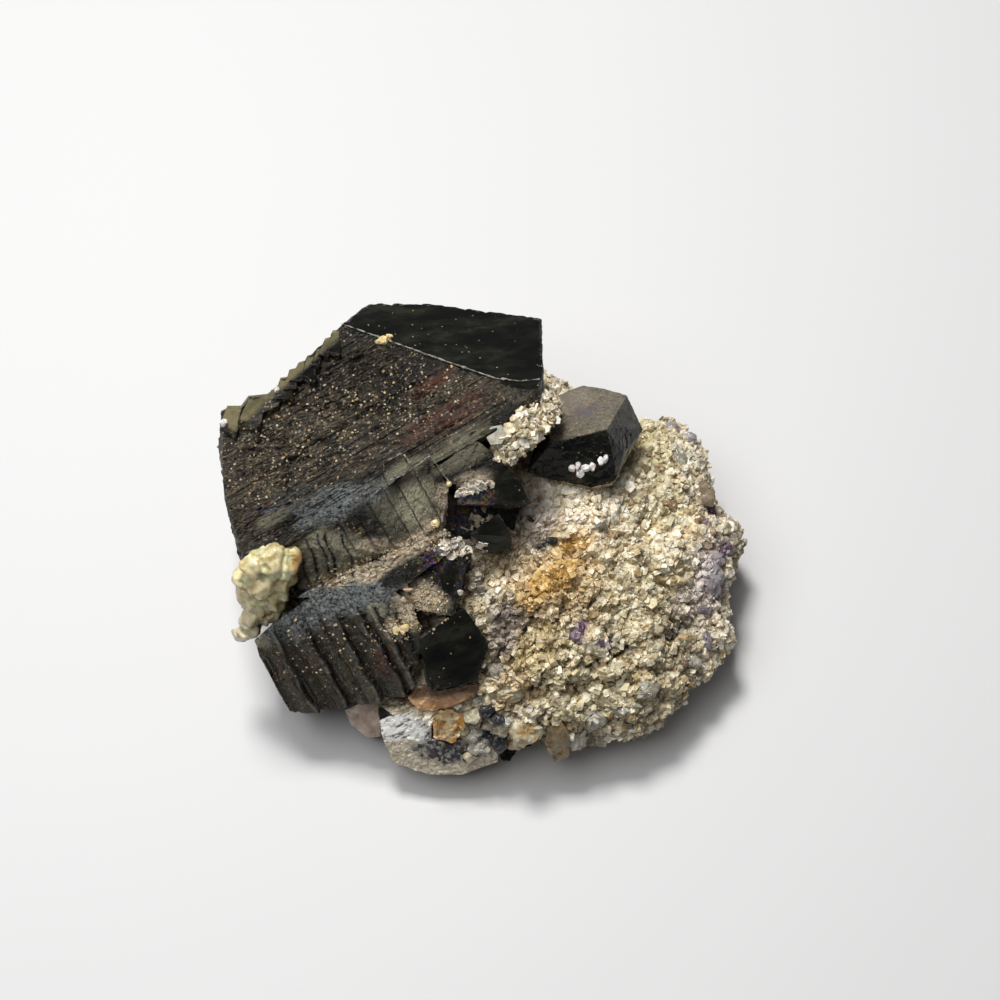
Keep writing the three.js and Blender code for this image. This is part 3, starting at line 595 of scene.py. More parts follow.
def grain_look(name, deep, pale, through, size_mm, roughness=0.25, stain=None):
    """A translucent grain: clouded colour, some light through it."""
    look = Look(name)
    look.set(Roughness=roughness, IOR=1.55, Transmission_Weight=through)
    look.set(Subsurface_Weight=0.3, Subsurface_Scale=0.001)
    cloud = look.noise(size_mm, 4.0, 0.6)
    colour = look.ramp(cloud, [(0.35, deep), (0.65, pale)])
    if stain:
        colour = look.blend(look.band(look.noise(size_mm * 1.7, 3.0), 0.5, 0.68), colour, stain)
    for patch, share, hue in GRAIN_PATCHES:
        colour = look.blend(look.times(look.value(patch), share), colour, hue)
    look.link(colour, "Base Color")
    look.link(look.bump(look.noise(size_mm * 0.35, 4.0, 0.7), 0.14, 0.6), "Normal")
    return look.material


# Mica mass

# Outline of the mass: across, down and the height above the table of each corner
MATRIX_OUTLINE = [
    (640, 412, 12), (672, 420, 11), (684, 448, 10), (696, 476, 9), (714, 494, 9), (728, 522, 9),
    (735, 540, 9), (727, 575, 9), (723, 606, 9), (722, 632, 9), (711, 661, 8.5), (688, 677, 8),
    (659, 701, 8), (633, 729, 7),
    (584, 746, 6), (548, 745, 6), (505, 744, 5), (430, 728, 5), (350, 690, 5), (300, 650, 6),
    (266, 600, 8), (262, 530, 8), (270, 470, 8), (320, 420, 8), (420, 390, 8), (540, 385, 9),
]
MATRIX_CENTRE = (520, 580, 9)
WIDEST_HEIGHT = 8.5
CROWN = 21.5
LOWEST_RISE = -1.15
TOP_RISE = math.pi / 2 - 0.012


def seen_at_height(u, v, height):
    """The place seen at (u, v) that stands at a height above the table."""
    reach = SEEN_SCALE * (SEEN_CENTRE - v)
    flat = AIM_RISE + reach * (1 + EYE_PLANE / EYE_DISTANCE)
    return seen(u, v, (height - COSINE * flat) / (SINE - COSINE * reach / EYE_DISTANCE))


def outline_reach(angle):
    """Distance from the centre to the outline along each angle: the farthest edge crossing."""
    corners = np.array([seen_at_height(*corner) for corner in MATRIX_OUTLINE])[:, :2]
    centre = seen_at_height(*MATRIX_CENTRE)[:2]
    direction = np.stack([np.cos(angle), np.sin(angle)], axis=-1)
    reach = np.zeros_like(angle)
    for here, after in zip(corners, np.roll(corners, -1, axis=0)):
        start, edge = here - centre, after - here
        across = direction[..., 0] * edge[1] - direction[..., 1] * edge[0]
        across = np.where(np.abs(across) < 1e-9, 1e-9, across)
        distance = (start[0] * edge[1] - start[1] * edge[0]) / across
        share = (start[0] * direction[..., 1] - start[1] * direction[..., 0]) / across
        hit = (distance > 0) & (share >= 0) & (share <= 1)
        reach = np.where(hit, np.maximum(reach, distance), reach)
    return reach


def mica_form(angle, rise, reach):
    """Bun-shaped mass: radius R cos(r)^0.72 and height by sin(r) up to the crown, which sinks outwards.

    Chance lumps of two sizes are added along the normal."""
    centre = seen_at_height(*MATRIX_CENTRE)
    spread = np.maximum(np.cos(rise), 0) ** 0.72
    x = centre[0] + reach * spread * np.cos(angle)
    y = centre[1] + reach * spread * np.sin(angle)
    sunk = 6 * soft_step(-x, 2, 24) + 5 * soft_step(-y, 6, 30) + 4 * soft_step(x, 8, 30)
    crown = CROWN - sunk - WIDEST_HEIGHT
    sine = np.sin(rise)
    height = np.where(
        rise > 0, WIDEST_HEIGHT + crown * np.abs(sine) ** 0.9, WIDEST_HEIGHT * (1 + 1.25 * sine),
    )
    normal = np.stack([np.cos(angle) * np.cos(rise), np.sin(angle) * np.cos(rise), sine], axis=-1)
    place = np.stack([x, y, height], axis=-1)
    push = 1.3 * relief(place, 6.5) + 1.15 * relief(place, 3.3)
    return place + normal * push[:, None], normal


# Folds of the mica as seen: start, end and depth in millimetres
SEAMS = [
    ((588, 672), (642, 645), 1.5), ((498, 698), (545, 686), 1.6), ((556, 614), (601, 600), 1.1),
    ((640, 563), (673, 591), 1.0), ((600, 690), (650, 668), 1.3), ((560, 664), (590, 700), 1.0),
    ((530, 640), (560, 650), 0.9), ((655, 610), (690, 630), 0.9), ((590, 540), (622, 520), 0.8),
]


def seam_depth(u, v):
    """Folds in the mica: a soft groove along each seen line."""
    depth = np.zeros_like(u)
    for start, end, deep in SEAMS:
        along = np.array(end, float) - np.array(start, float)
        length = np.hypot(*along)
        along /= length
        run = (u - start[0]) * along[0] + (v - start[1]) * along[1]
        off = (v - start[1]) * along[0] - (u - start[0]) * along[1] + 3.0 * np.sin(run / 6.0)
        inside = soft_step(run, -4, 8) * soft_step(-run, -length - 4, -length + 8)
        depth += deep * inside * np.exp(-(off / 4.2) ** 2)
    return depth


MICA_GRID = (468, 206)
MICA_FACETS = [(2.4, 0.32, 0.6, 1), (1.15, 0.24, 0.55, 2), (0.6, 0.14, 0.3, 3)]


def mica_surface():
    """Grid over (angle, rise) of the mica form, broken into tilted facets of three sizes."""
    columns, rows = MICA_GRID
    share = np.linspace(0, 1, rows)
    angle, rise = np.meshgrid(
        np.arange(columns) / columns * 2 * math.pi, LOWEST_RISE + (TOP_RISE - LOWEST_RISE) * share,
    )
    reach = outline_reach(angle[0])
    angle, rise = angle.ravel(), rise.ravel()
    place, normal = mica_form(angle, rise, np.tile(reach, rows))
    push = layered(place, MICA_FACETS)
    u, v = seen_at(place + SHIFT)
    push -= seam_depth(u, v) * (normal[:, 2] > 0)
    place = place + normal * push[:, None]
    place[:, 2] = np.maximum(place[:, 2], 0)
    place[:columns, 2] = 0
    base = np.array([[place[:columns, 0].mean(), place[:columns, 1].mean(), 0]])
    top = place[-columns:].mean(axis=0)[None]
    grid = np.arange(rows * columns).reshape(rows, columns)
    right = np.roll(grid, -1, axis=1)
    quads = np.stack([grid[:-1], right[:-1], right[1:], grid[1:]], axis=-1).reshape(-1, 4)
    triangles = np.vstack([quads[:, [0, 1, 2]], quads[:, [0, 2, 3]]])
    low, high = rows * columns, rows * columns + 1
    under = np.stack([right[0], grid[0], np.full(columns, low)], axis=1)
    over = np.stack([grid[-1], right[-1], np.full(columns, high)], axis=1)
    points = np.vstack([place, base, top]) + SHIFT
    return points, np.vstack([triangles, under, over]), np.append(push, [0, 0])


def mica_stains(points):
    """How far each stain reaches, from where the place is seen."""
    u, v = seen_at(points)
    wobble = relief(points, 2.2, 5) * 9
    u, v = u + wobble, v - wobble
    patch = soft_patch
    top = soft_step(points[:, 2], 6, 11)
    ochre = np.maximum.reduce([
        patch(u, v, (554, 578), (34, 20), -28), patch(u, v, (572, 545), (30, 13), -20) * 0.9,
        patch(u, v, (530, 602), (18, 14)) * 0.9, patch(u, v, (560, 575), (60, 42), -20) * 0.55,
        patch(u, v, (506, 470), (14, 7), 30) * 0.5, patch(u, v, (520, 690), (26, 14)) * 0.45,
        patch(u, v, (565, 555), (70, 50)) * 0.22, patch(u, v, (528, 645), (34, 44), 20) * 0.4,
    ])
    yellow = np.maximum.reduce([
        patch(u, v, (650, 458), (28, 34)), patch(u, v, (640, 600), (50, 60)) * 0.4,
        patch(u, v, (540, 650), (46, 30)) * 0.6, patch(u, v, (600, 690), (70, 40)) * 0.5,
        patch(u, v, (660, 510), (30, 30)) * 0.6,
    ])
    lilac = np.maximum.reduce([
        patch(u, v, (708, 580), (18, 46)), patch(u, v, (690, 610), (20, 30)) * 0.6,
        patch(u, v, (505, 630), (22, 26)) * 0.7, patch(u, v, (530, 520), (30, 26)) * 0.6,
    ])
    purple = np.maximum.reduce([
        patch(u, v, (581, 630), (8, 9)), patch(u, v, (606, 641), (7, 6)), patch(u, v, (712, 512), (8, 7)),
        patch(u, v, (722, 553), (6, 8)),
    ])
    grey = np.maximum.reduce([
        patch(u, v, (520, 505), (16, 26), 10) * 0.45, patch(u, v, (546, 543), (14, 6)),
        patch(u, v, (500, 636), (20, 38), 20) * 0.75, patch(u, v, (520, 612), (9, 22), -40) * 0.6,
        patch(u, v, (676, 458), (9, 16), -20) * 0.8, patch(u, v, (478, 575), (16, 18)) * 0.6,
    ])
    stains = {"ochre": ochre, "yellow": yellow, "lilac": lilac, "purple": purple, "grey": grey}
    return {key: np.clip(value * top, 0, 1) for key, value in stains.items()}


def mica_pale_and_painted_shade(points):
    """Where the mica is palest, under the upper-right crystal, and the painted shade, darkest beside the
    black crystals.
    """
    u, v = seen_at(points)
    pale = np.maximum.reduce([
        soft_patch(u, v, (556, 500), (56, 34)), soft_patch(u, v, (530, 450), (30, 20), -40) * 0.3,
        soft_patch(u, v, (612, 525), (60, 56)), soft_patch(u, v, (655, 470), (44, 44)) * 0.6,
    ])
    # Painted shade beside the black crystals
    dark = np.maximum.reduce([
        soft_patch(u, v, (500, 640), (22, 34), 20), soft_patch(u, v, (540, 690), (60, 8), -10),
        soft_patch(u, v, (525, 640), (44, 54), 10) * 0.7,
        soft_patch(u, v, (600, 725), (90, 24), -10) * 0.7, soft_patch(u, v, (402, 699), (34, 9), -8) * 3,
        soft_patch(u, v, (650, 640), (70, 60)) * 0.4,
    ])
    return 0.24 * pale - 0.22 * dark


PLATE_CORNERS = 12


def hex_plates(centres, normals, widths, thick, draw):
    """Six-sided plates: corners c + r_k (cos a_k t + sin a_k b) +- n h / 2.

    The radius r_k of each corner comes by chance, and t and b lie in the plate's plane."""
    count = len(centres)
    guide = np.where(np.abs(normals[:, 2:3]) < 0.9, [[0.0, 0.0, 1.0]], [[1.0, 0.0, 0.0]])
    tangent = np.cross(normals, guide)
    tangent /= np.linalg.norm(tangent, axis=1, keepdims=True)
    second = np.cross(normals, tangent)
    spin = draw.uniform(0, 2 * math.pi, count)
    angle = spin[:, None] + np.arange(6) * math.pi / 3
    radius = widths[:, None] / 2 * draw.uniform(0.5, 1.2, (count, 6))
    ring = (np.cos(angle) * radius)[..., None] * tangent[:, None]
    ring = ring + (np.sin(angle) * radius)[..., None] * second[:, None]
    rise = (normals * thick[:, None] / 2)[:, None]
    corners = np.concatenate([centres[:, None] + ring - rise, centres[:, None] + ring + rise], axis=1)
    k = np.arange(6)
    after = (k + 1) % 6
    sides = np.vstack([np.c_[k, after, after + 6], np.c_[k, after + 6, k + 6]])
    under = np.array([[0, 2, 1], [0, 3, 2], [0, 4, 3], [0, 5, 4]])
    over = np.array([[6, 7, 8], [6, 8, 9], [6, 9, 10], [6, 10, 11]])
    one = np.vstack([sides, under, over])
    faces = (one[None] + PLATE_CORNERS * np.arange(count)[:, None, None]).reshape(-1, 3)
    return corners.reshape(-1, 3), faces


def strewn(points, triangles, count, draw, keep):
    """Chance places on a surface, by area and by how far each face is kept, with the face normals there."""
    a, b, c = (points[triangles[:, i]] for i in range(3))
    cross = np.cross(b - a, c - a)
    area = np.linalg.norm(cross, axis=1)
    weight = area * keep
    chosen = draw.choice(len(triangles), count, p=weight / weight.sum())
    s, t = np.sqrt(draw.random(count)), draw.random(count)
    place = a[chosen] * (1 - s)[:, None] + b[chosen] * (s * (1 - t))[:, None] + c[chosen] * (s * t)[:, None]
    return place, cross[chosen] / area[chosen, None]


def leaning(normals, amount, draw):
    """Normals turned a little by chance."""
    lean = normals + draw.normal(0, amount, normals.shape)
    return lean / np.linalg.norm(lean, axis=1, keepdims=True)


# Thickness of a flake as a share of its width
THIN = (0.14, 0.42)
CHUNKY = (0.4, 0.85)
LARGE_FLAKES = 1300
SMALL_FLAKES = 5200
LOOSE_GRAINS = 9000
STREAK_FLAKES = 900
CAUGHT_FLAKES = 260
LEAST_HEIGHT = 0.02


def per_corner(values):
    """One value for each plate, repeated for its corners."""
    return np.repeat(values, PLATE_CORNERS)


def strewn_flakes(name, surface, count, width, amount, draw, material, keep, lift, shape=THIN):
    """Mica flakes strewn over a surface, each with its own tint."""
    points, triangles = surface
    place, normal = strewn(points, triangles, count, draw, keep)
    widths = width[0] + (width[1] - width[0]) * draw.random(count) ** 1.4
    thick = widths * draw.uniform(*shape, count)
    place = place + normal * lift
    corners, faces = hex_plates(place, leaning(normal, amount, draw), widths, thick, draw)
    corners[:, 2] = np.maximum(corners[:, 2], LEAST_HEIGHT)
    values = {key: per_corner(value) for key, value in mica_stains(place).items()}
    patchy = 0.24 * relief(place - SHIFT, 1.7, 11) + 0.2 * relief(place - SHIFT, 4.5, 6)
    stained_flake = (draw.random(count) < 0.16) * (place[:, 2] > 6) * 0.45
    values["ochre"] = np.maximum(values["ochre"], per_corner(stained_flake))
    # Each flake's chance tint, plus the pale patches and the painted shade beside the black crystals
    tint_and_painted_shade = draw.normal(0.54, 0.2, count) + patchy + mica_pale_and_painted_shade(place)
    values["tint_and_painted_shade"] = per_corner(np.clip(tint_and_painted_shade, 0, 1))
    make_piece(name, corners, faces, material, values)


# Ovals of the raised view that are kept clear of flakes: middle, radii, turn
CLEAR_OVALS = [
    ((577, 462), (52, 22), 0), ((600, 420), (44, 34), 0), ((444, 690), (38, 15), -8),
    ((402, 698), (36, 14), -8), ((448, 722), (20, 20), 0), ((432, 742), (56, 30), 0),
    ((558, 738), (13, 19), 0), ((362, 712), (20, 22), 0), ((497, 430), (11, 11), 0),
]


def build_mica(draw):
    """The mica mass with its flakes and grains; gives back the places of its surface."""
    mica = mica_look("mica_cream", 0.3)
    bright = mica_look("mica_flake", 0.26)
    points, triangles, push = mica_surface()
    values = mica_stains(points)
    fine = relief(points - SHIFT, 1.5, 4)
    broad = relief(points - SHIFT, 4.5, 6)
    # Painted shade: the tint falls where the facets and folds sink, on top of the chance tint and the painted
    # shade of the darker patches
    values["tint_and_painted_shade"] = np.clip(0.5 + 0.2 * fine + 0.16 * broad + 0.5 * push + mica_pale_and_painted_shade(points), 0, 1)
    hollow = 0.4 * soft_step(-push, 0.05, 0.4) * soft_step(points[:, 2], 5, 9)
    values["ochre"] = np.maximum(values["ochre"], hollow)
    body = make_piece("mica_mass", points, triangles, mica, values)
    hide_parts("mica_matrix")
    a, b, c = (points[triangles[:, i]] for i in range(3))
    u, v = seen_at((a + b + c) / 3)
    under_cluster = (u < 470) & (v < 690)
    keep = np.where(under_cluster, 0.1, 1.0) * (a[:, 2] > 0.7)
    for middle, radii, turn in CLEAR_OVALS:
        keep *= soft_patch(u, v, middle, radii, turn) < 0.35
    surface = points, triangles
    large, small, loose = (0.9, 1.6), (0.4, 1.2), (0.15, 0.45)
    strewn_flakes("mica_flakes_large", surface, LARGE_FLAKES, large, 0.4, draw, bright, keep, 0.0)
    strewn_flakes("mica_flakes_small", surface, SMALL_FLAKES, small, 0.7, draw, bright, keep, -0.02, CHUNKY)
    strewn_flakes("mica_grains", surface, LOOSE_GRAINS, loose, 1.0, draw, mica, keep, 0.06)
    build_streak(draw, mica, bright)
    build_grains(points, draw)
    return points


# Strip of mica between the two upper crystals: stops across, down and near, half widths and depth
STREAK_PATH = [
    (493, 458, 29), (508, 448, 30.4), (519, 434, 30.8), (531, 418, 30), (544, 406, 28.6), (554, 398, 25.6),
]
STREAK_WIDTH = [0.5, 1.3, 1.8, 2.0, 1.8, 0.8]
STREAK_DROP = 9.0
STREAK_FACETS = [(1.3, 0.26, 0.55, 7), (0.6, 0.14, 0.3, 8)]
# The mica book is kept clear of flakes
BOOK_OVAL = ((496, 430), (13, 13))


def tube(stops, widths, rows, columns, out, drop):
    """Closed oval tube along a seen path: w cos t sideways, `out` sin t near the eye, `drop` sin t away."""
    path = np.array([seen(*place) for place in stops])
    share, knots = np.linspace(0, 1, rows), np.linspace(0, 1, len(path))
    spine = np.stack([np.interp(share, knots, path[:, i]) for i in range(3)], axis=1)
    width = np.interp(share, knots, widths)
    along = np.gradient(spine, axis=0)
    along /= np.linalg.norm(along, axis=1, keepdims=True)
    near = standing(0.0, 0.0, 1.0)
    side = np.cross(along, near)
    side /= np.linalg.norm(side, axis=1, keepdims=True)
    angle = np.arange(columns) / columns * 2 * math.pi
    sideways = np.cos(angle)[None, :, None] * width[:, None, None] * side[:, None]
    depth = (np.where(np.sin(angle) > 0, out, drop) * np.sin(angle))[None, :, None] * near
    direction = (sideways + depth).reshape(-1, 3)
    place = np.repeat(spine, columns, axis=0) + direction
    direction = direction / np.linalg.norm(direction, axis=1, keepdims=True)
    grid = np.arange(rows * columns).reshape(rows, columns)
    right = np.roll(grid, -1, axis=1)
    quads = np.stack([grid[:-1], grid[1:], right[1:], right[:-1]], axis=-1).reshape(-1, 4)
    first, last = rows * columns, rows * columns + 1
    triangles = np.vstack([
        quads[:, [0, 1, 2]], quads[:, [0, 2, 3]],
        np.stack([grid[0], right[0], np.full(columns, first)], axis=1),
        np.stack([right[-1], grid[-1], np.full(columns, last)], axis=1),
    ])
    return np.vstack([place, spine[:1], spine[-1:]]), np.vstack([direction, np.zeros((2, 3))]), triangles


def build_streak(draw, mica, bright):
    """Mica between the two upper crystals, deeper than wide and broken into facets."""
    place, direction, triangles = tube(STREAK_PATH, STREAK_WIDTH, 90, 64, 0.9, STREAK_DROP)
    push = layered(place, STREAK_FACETS)
    points = place + direction * push[:, None] + SHIFT
    values = mica_stains(points)
    # Painted shade: the tint falls where the facets sink
    values["tint_and_painted_shade"] = np.clip(0.4 + 0.25 * relief(points - SHIFT, 1.2, 9) + 0.35 * push, 0, 1)
    make_piece("mica_streak", points, triangles, mica, values)
    u, v = seen_at(points[triangles[:, 0]])
    clear = soft_patch(u, v, *BOOK_OVAL) < 0.3
    surface = points, triangles
    strewn_flakes("mica_streak_flakes", surface, STREAK_FLAKES, (0.35, 1.3), 0.5, draw, bright, clear, 0.06)


# Grains lodged in the mica: across, down, half width, half height, look, how far they stand out
LODGED = [
    (540, 546, 7, 4, "dark", 0.5), (551, 541, 7, 4.5, "dark", 0.6), (531, 520, 3, 3, "dark", 0.3),
    (486, 712, 9, 7, "dark", 1.2), (497, 719, 7, 6, "dark", 1.0), (490, 726, 6, 5, "clear", 1.2),
    (507, 758, 10, 12, "shard", 1.5), (498, 742, 9, 10, "dark", 0.8), (520, 748, 12, 7, "dark", 0.4),
    (526, 731, 17, 16, "cream", 1.1), (508, 722, 9, 8, "clear", 0.8), (514, 745, 7, 6, "cream", 0.8),
    (497, 668, 15, 9, "clear", 1.0), (478, 664, 8, 5, "cream", 1.0), (512, 690, 20, 13, "cream", 0.4),
    (588, 716, 19, 13, "clear", 0.7), (622, 706, 20, 13, "clear", 0.7), (598, 737, 15, 9, "clear", 0.8),
    (560, 700, 13, 9, "cream", 0.6), (575, 742, 12, 8, "clear", 0.8), (646, 690, 13, 9, "clear", 0.7),
    (711, 579, 12, 19, "lilac", 0.9), (700, 610, 10, 12, "lilac", 0.6), (716, 560, 8, 10, "lilac", 0.8),
    (722, 553, 5, 7, "violet", 0.9), (712, 511, 5, 6, "violet", 0.8), (581, 629, 4, 7, "violet", 0.4),
    (666, 503, 10, 8, "brown", 0.6), (700, 522, 8, 9, "brown", 0.5), (640, 498, 9, 7, "cream", 0.5),
    (680, 458, 8, 15, "clear", 0.6), (646, 452, 9, 8, "cream", 0.8), (655, 470, 9, 8, "cream", 0.6),
    (634, 470, 8, 8, "cream", 0.6), (690, 440, 8, 8, "lilac", 0.5), (672, 428, 9, 7, "lilac", 0.6),
    (682, 640, 12, 9, "cream", 0.5), (690, 660, 12, 10, "clear", 0.5), (706, 640, 9, 10, "lilac", 0.5),
    (545, 640, 12, 7, "cream", 0.4), (610, 610, 8, 6, "cream", 0.4), (655, 630, 9, 7, "cream", 0.4),
]


def surface_near(points, u, v, reach=3.0, otherwise=9.0):
    """How near to the eye a surface stands where it is seen at (u, v)."""
    across, down = seen_at(points)
    close = (np.abs(across - u) < reach) & (np.abs(down - v) < reach)
    near = eye_frame(points[close])[2]
    return near.max() if len(near) else otherwise


BALL_PLANES = 16


def broken_ball(place, reach, draw):
    """A broken grain: a ball cut by chance planes, stretched to its reach, then roughened by fine facets.

    Along each direction the radius is the least offset / (direction . normal) of the planes."""
    ball, triangles = ball_grid(22, 12)
    planes = draw.normal(0, 1, (BALL_PLANES, 3))
    planes /= np.linalg.norm(planes, axis=1, keepdims=True)
    offsets = draw.uniform(0.72, 1.0, BALL_PLANES)
    along = np.maximum(ball @ planes.T, 1e-3)
    radius = np.minimum((offsets / along).min(axis=1), 1.12)
    local = ball * radius[:, None] * reach
    local = local * (1 + 0.16 * facets(local + draw.uniform(0, 50, 3), 0.7, 0.8, 1.2, 73))[:, None]
    return place + standing(local[:, 0], local[:, 1], local[:, 2]), triangles


def joined(parts):
    """Several (points, triangles) as one mesh."""
    starts = np.cumsum([0] + [len(points) for points, _ in parts[:-1]])
    return np.vstack([p for p, _ in parts]), np.vstack([t + s for (_, t), s in zip(parts, starts)])


# Looks of the lodged grains: name, deep and pale colour, light through them, cloud size, gloss, stain
LODGED_STONES = {
    "dark": ("dark_fragment", (0.006, 0.006, 0.007), (0.035, 0.035, 0.038), 0.0, 0.7, 0.3),
    "shard": ("blue_shard", (0.01, 0.014, 0.025), (0.12, 0.13, 0.15), 0.2, 0.8, 0.2),
    "clear": ("clear_grain", (0.3, 0.27, 0.2), (0.6, 0.57, 0.48), 0.35, 0.9, 0.18),
    "cream": ("cream_grain", (0.28, 0.23, 0.13), (0.62, 0.56, 0.4), 0.12, 0.8, 0.35, (0.4, 0.26, 0.1)),
    "lilac": ("lilac_grain", (0.2, 0.17, 0.18), (0.42, 0.38, 0.4), 0.25, 1.2, 0.25),
    "violet": ("violet_grain", (0.05, 0.02, 0.05), (0.14, 0.07, 0.13), 0.2, 0.8, 0.25),
    "brown": ("brown_grain", (0.14, 0.09, 0.045), (0.42, 0.3, 0.17), 0.25, 0.9, 0.2),
}


def build_grains(mica_points, draw):
    """The larger single grains seated in the mica, one mesh for each kind."""
    kinds = {}
    for u, v, half_width, half_height, kind, out in LODGED:
        near = surface_near(mica_points, u, v)
        reach = np.array([half_width, half_height, (half_width + half_height) / 2]) * SEEN_SCALE
        sunk = 0.0 if kind in ("dark", "shard") else 0.35
        place = seen(u, v, near - reach[2] + out - sunk) + SHIFT
        kinds.setdefault(kind, []).append(broken_ball(place, reach, draw))
    for kind, parts in kinds.items():
        points, triangles = joined(parts)
        points[:, 2] = np.maximum(points[:, 2], LEAST_HEIGHT)
        make_piece("grains_" + kind, points, triangles, grain_look(*LODGED_STONES[kind]))


# Crystals

def lattice(points):
    """(p, q) along and across the striae of the big crystal, and the depth towards the eye."""
    middle = eye_frame(seen(*BIG_MIDDLE)[None] + SHIFT)
    across, rise, near = eye_frame(points)
    dx, dv, dw = across - middle[0], rise - middle[1], near - middle[2]
    c, s = math.cos(STRIA_ANGLE), math.sin(STRIA_ANGLE)
    return dx * c + dv * s, -dx * s + dv * c, dw


# Ovals of the raised view: middle, radii, turn, amount
CLUSTER_STAINS = {
    "brown": [
        ((326, 556), (44, 34), 0, 0.8), ((290, 450), (104, 50), -30, 0.8), ((440, 412), (80, 36), -32, 0.85),
        ((330, 665), (90, 52), 0, 0.42), ((250, 540), (24, 34), 0, 0.5), ((425, 608), (30, 28), 0, 0.7),
        ((350, 372), (60, 26), -30, 0.35),
        ((380, 448), (60, 18), -30, 0.6), ((515, 392), (30, 14), 0, 0.6),
    ],
    "olive": [
        ((414, 503), (20, 30), 24, 1), ((466, 448), (30, 18), -35, 0.4), ((404, 470), (24, 9), -30, 0.5),
        ((376, 612), (11, 9), 0, 0.9), ((270, 520), (20, 8), -30, 0.35), ((262, 641), (10, 10), 0, 0.6),
        ((440, 462), (12, 14), 20, 0.4), ((328, 558), (38, 26), 0, 0.8), ((398, 512), (26, 26), 0, 0.4),
    ],
    "blue": [
        ((290, 500), (30, 12), -30, 0.2), ((300, 612), (50, 26), -25, 1), ((350, 594), (54, 20), -8, 1),
        ((330, 506), (38, 18), -25, 0.9), ((460, 515), (24, 16), 0, 0.6), ((262, 620), (14, 20), 0, 1),
        ((372, 492), (20, 14), -30, 0.6),
    ],
    "rust": [
        ((432, 384), (26, 8), -32, 1), ((455, 412), (40, 14), -32, 0.7), ((420, 430), (26, 10), -32, 0.7),
        ((384, 662), (13, 18), 0, 1), ((282, 668), (14, 20), 20, 0.4), ((315, 660), (12, 18), 20, 0.4),
    ],
    "beige": [
        ((330, 580), (28, 8), -6, 0.9), ((372, 570), (28, 9), -14, 0.95), ((372, 548), (24, 9), -16, 0.55),
        ((408, 548), (26, 11), -32, 1), ((434, 528), (22, 13), -34, 0.9), ((445, 500), (10, 16), -20, 0.7),
        ((394, 628), (11, 11), 0, 1), ((456, 545), (20, 7), -8, 0.8), ((289, 584), (9, 20), 10, 0.6),
        ((476, 478), (24, 9), -15, 0.6), ((420, 604), (28, 24), -20, 0.9), ((350, 574), (50, 8), -12, 1),
    ],
    "tarnish": [
        ((434, 558), (20, 14), -20, 1), ((462, 512), (24, 15), -20, 0.9), ((268, 508), (24, 8), -20, 0.35),
        ((442, 515), (16, 12), 0, 0.5), ((478, 500), (14, 12), 0, 0.8), ((470, 580), (10, 20), 10, 0.5),
    ],
    "pitted": [
        ((345, 385), (62, 34), -28, 1), ((285, 455), (60, 40), -30, 0.8), ((400, 400), (40, 22), -20, 0.8),
        ((260, 520), (30, 26), 0, 0.6), ((310, 500), (40, 20), -28, 0.6),
    ],
    "ledges": [
        ((330, 668), (86, 46), 0, 1), ((326, 560), (30, 26), 0, 1), ((430, 640), (20, 44), 0, 0.8),
    ],
    "smooth": [
        ((455, 648), (42, 46), 0, 1), ((512, 484), (20, 24), -30, 1), ((494, 532), (20, 18), -20, 1),
        ((393, 578), (12, 8), 0, 0.8), ((452, 575), (11, 20), 0, 0.8), ((366, 512), (18, 18), 0, 0.25),
    ],
}
# Where the slabs of the lower-left crystal end, counted across them as 0.876 u - 0.48 v
SLAB_ENDS = [-92, -62, -33, 0, 24, 37, 52, 70]
# Painted shading of the slabs: how far each slab takes the slab grey, standing in for the light on its tilt
PAINTED_SLAB_SHADES = np.array([0.25, 0.6, 0.4, 0.85, 0.5, 0.9, 0.3, 0.2, 0.2])
# Grooves down the front of the middle crystal, counted across them as u - 0.33 v
MIDDLE_GROOVES = [117, 129, 141, 148, 165]
STAIR_LINE = ((221, 410), (338, 320))
STAIR_WIDTH = 30
# The dark face behind the ridge turns this way: across, rise, near
BACK_FACE = np.array([0.01, 0.782, 0.624])


def stained(u, v, ovals):
    """The strongest of several ovals at each place."""
    return np.maximum.reduce([soft_patch(u, v, *oval) * amount for *oval, amount in ovals])


def stair_share(u, v):
    """1 on the steps of the upper-left edge: below the edge line, within the width of the steps."""
    (u0, v0), (u1, v1) = STAIR_LINE
    length = math.hypot(u1 - u0, v1 - v0)
    below = ((u - u0) * (v0 - v1) + (v - v0) * (u1 - u0)) / length
    width = STAIR_WIDTH * (1 - 0.4 * np.clip((u - u0) / (u1 - u0), 0, 1))
    return soft_step(-below, -width, -width + 6) * soft_step(-u, -343, -339)


def slab_place(u, v):
    """Which slab a place lies on, how far across it (0 to 1), and the distance to its right end."""
    across = 0.876 * u - 0.48 * v
    across = across + 1.6 * np.sin(0.05 * v + 0.11 * across) + 1.1 * np.sin(0.19 * v + 0.07 * across)
    ends = np.array(SLAB_ENDS, float)
    index = np.clip(np.searchsorted(ends, across), 1, len(ends) - 1)
    share = (across - ends[index - 1]) / (ends[index] - ends[index - 1])
    return index, np.clip(share, 0, 1), ends[index] - across


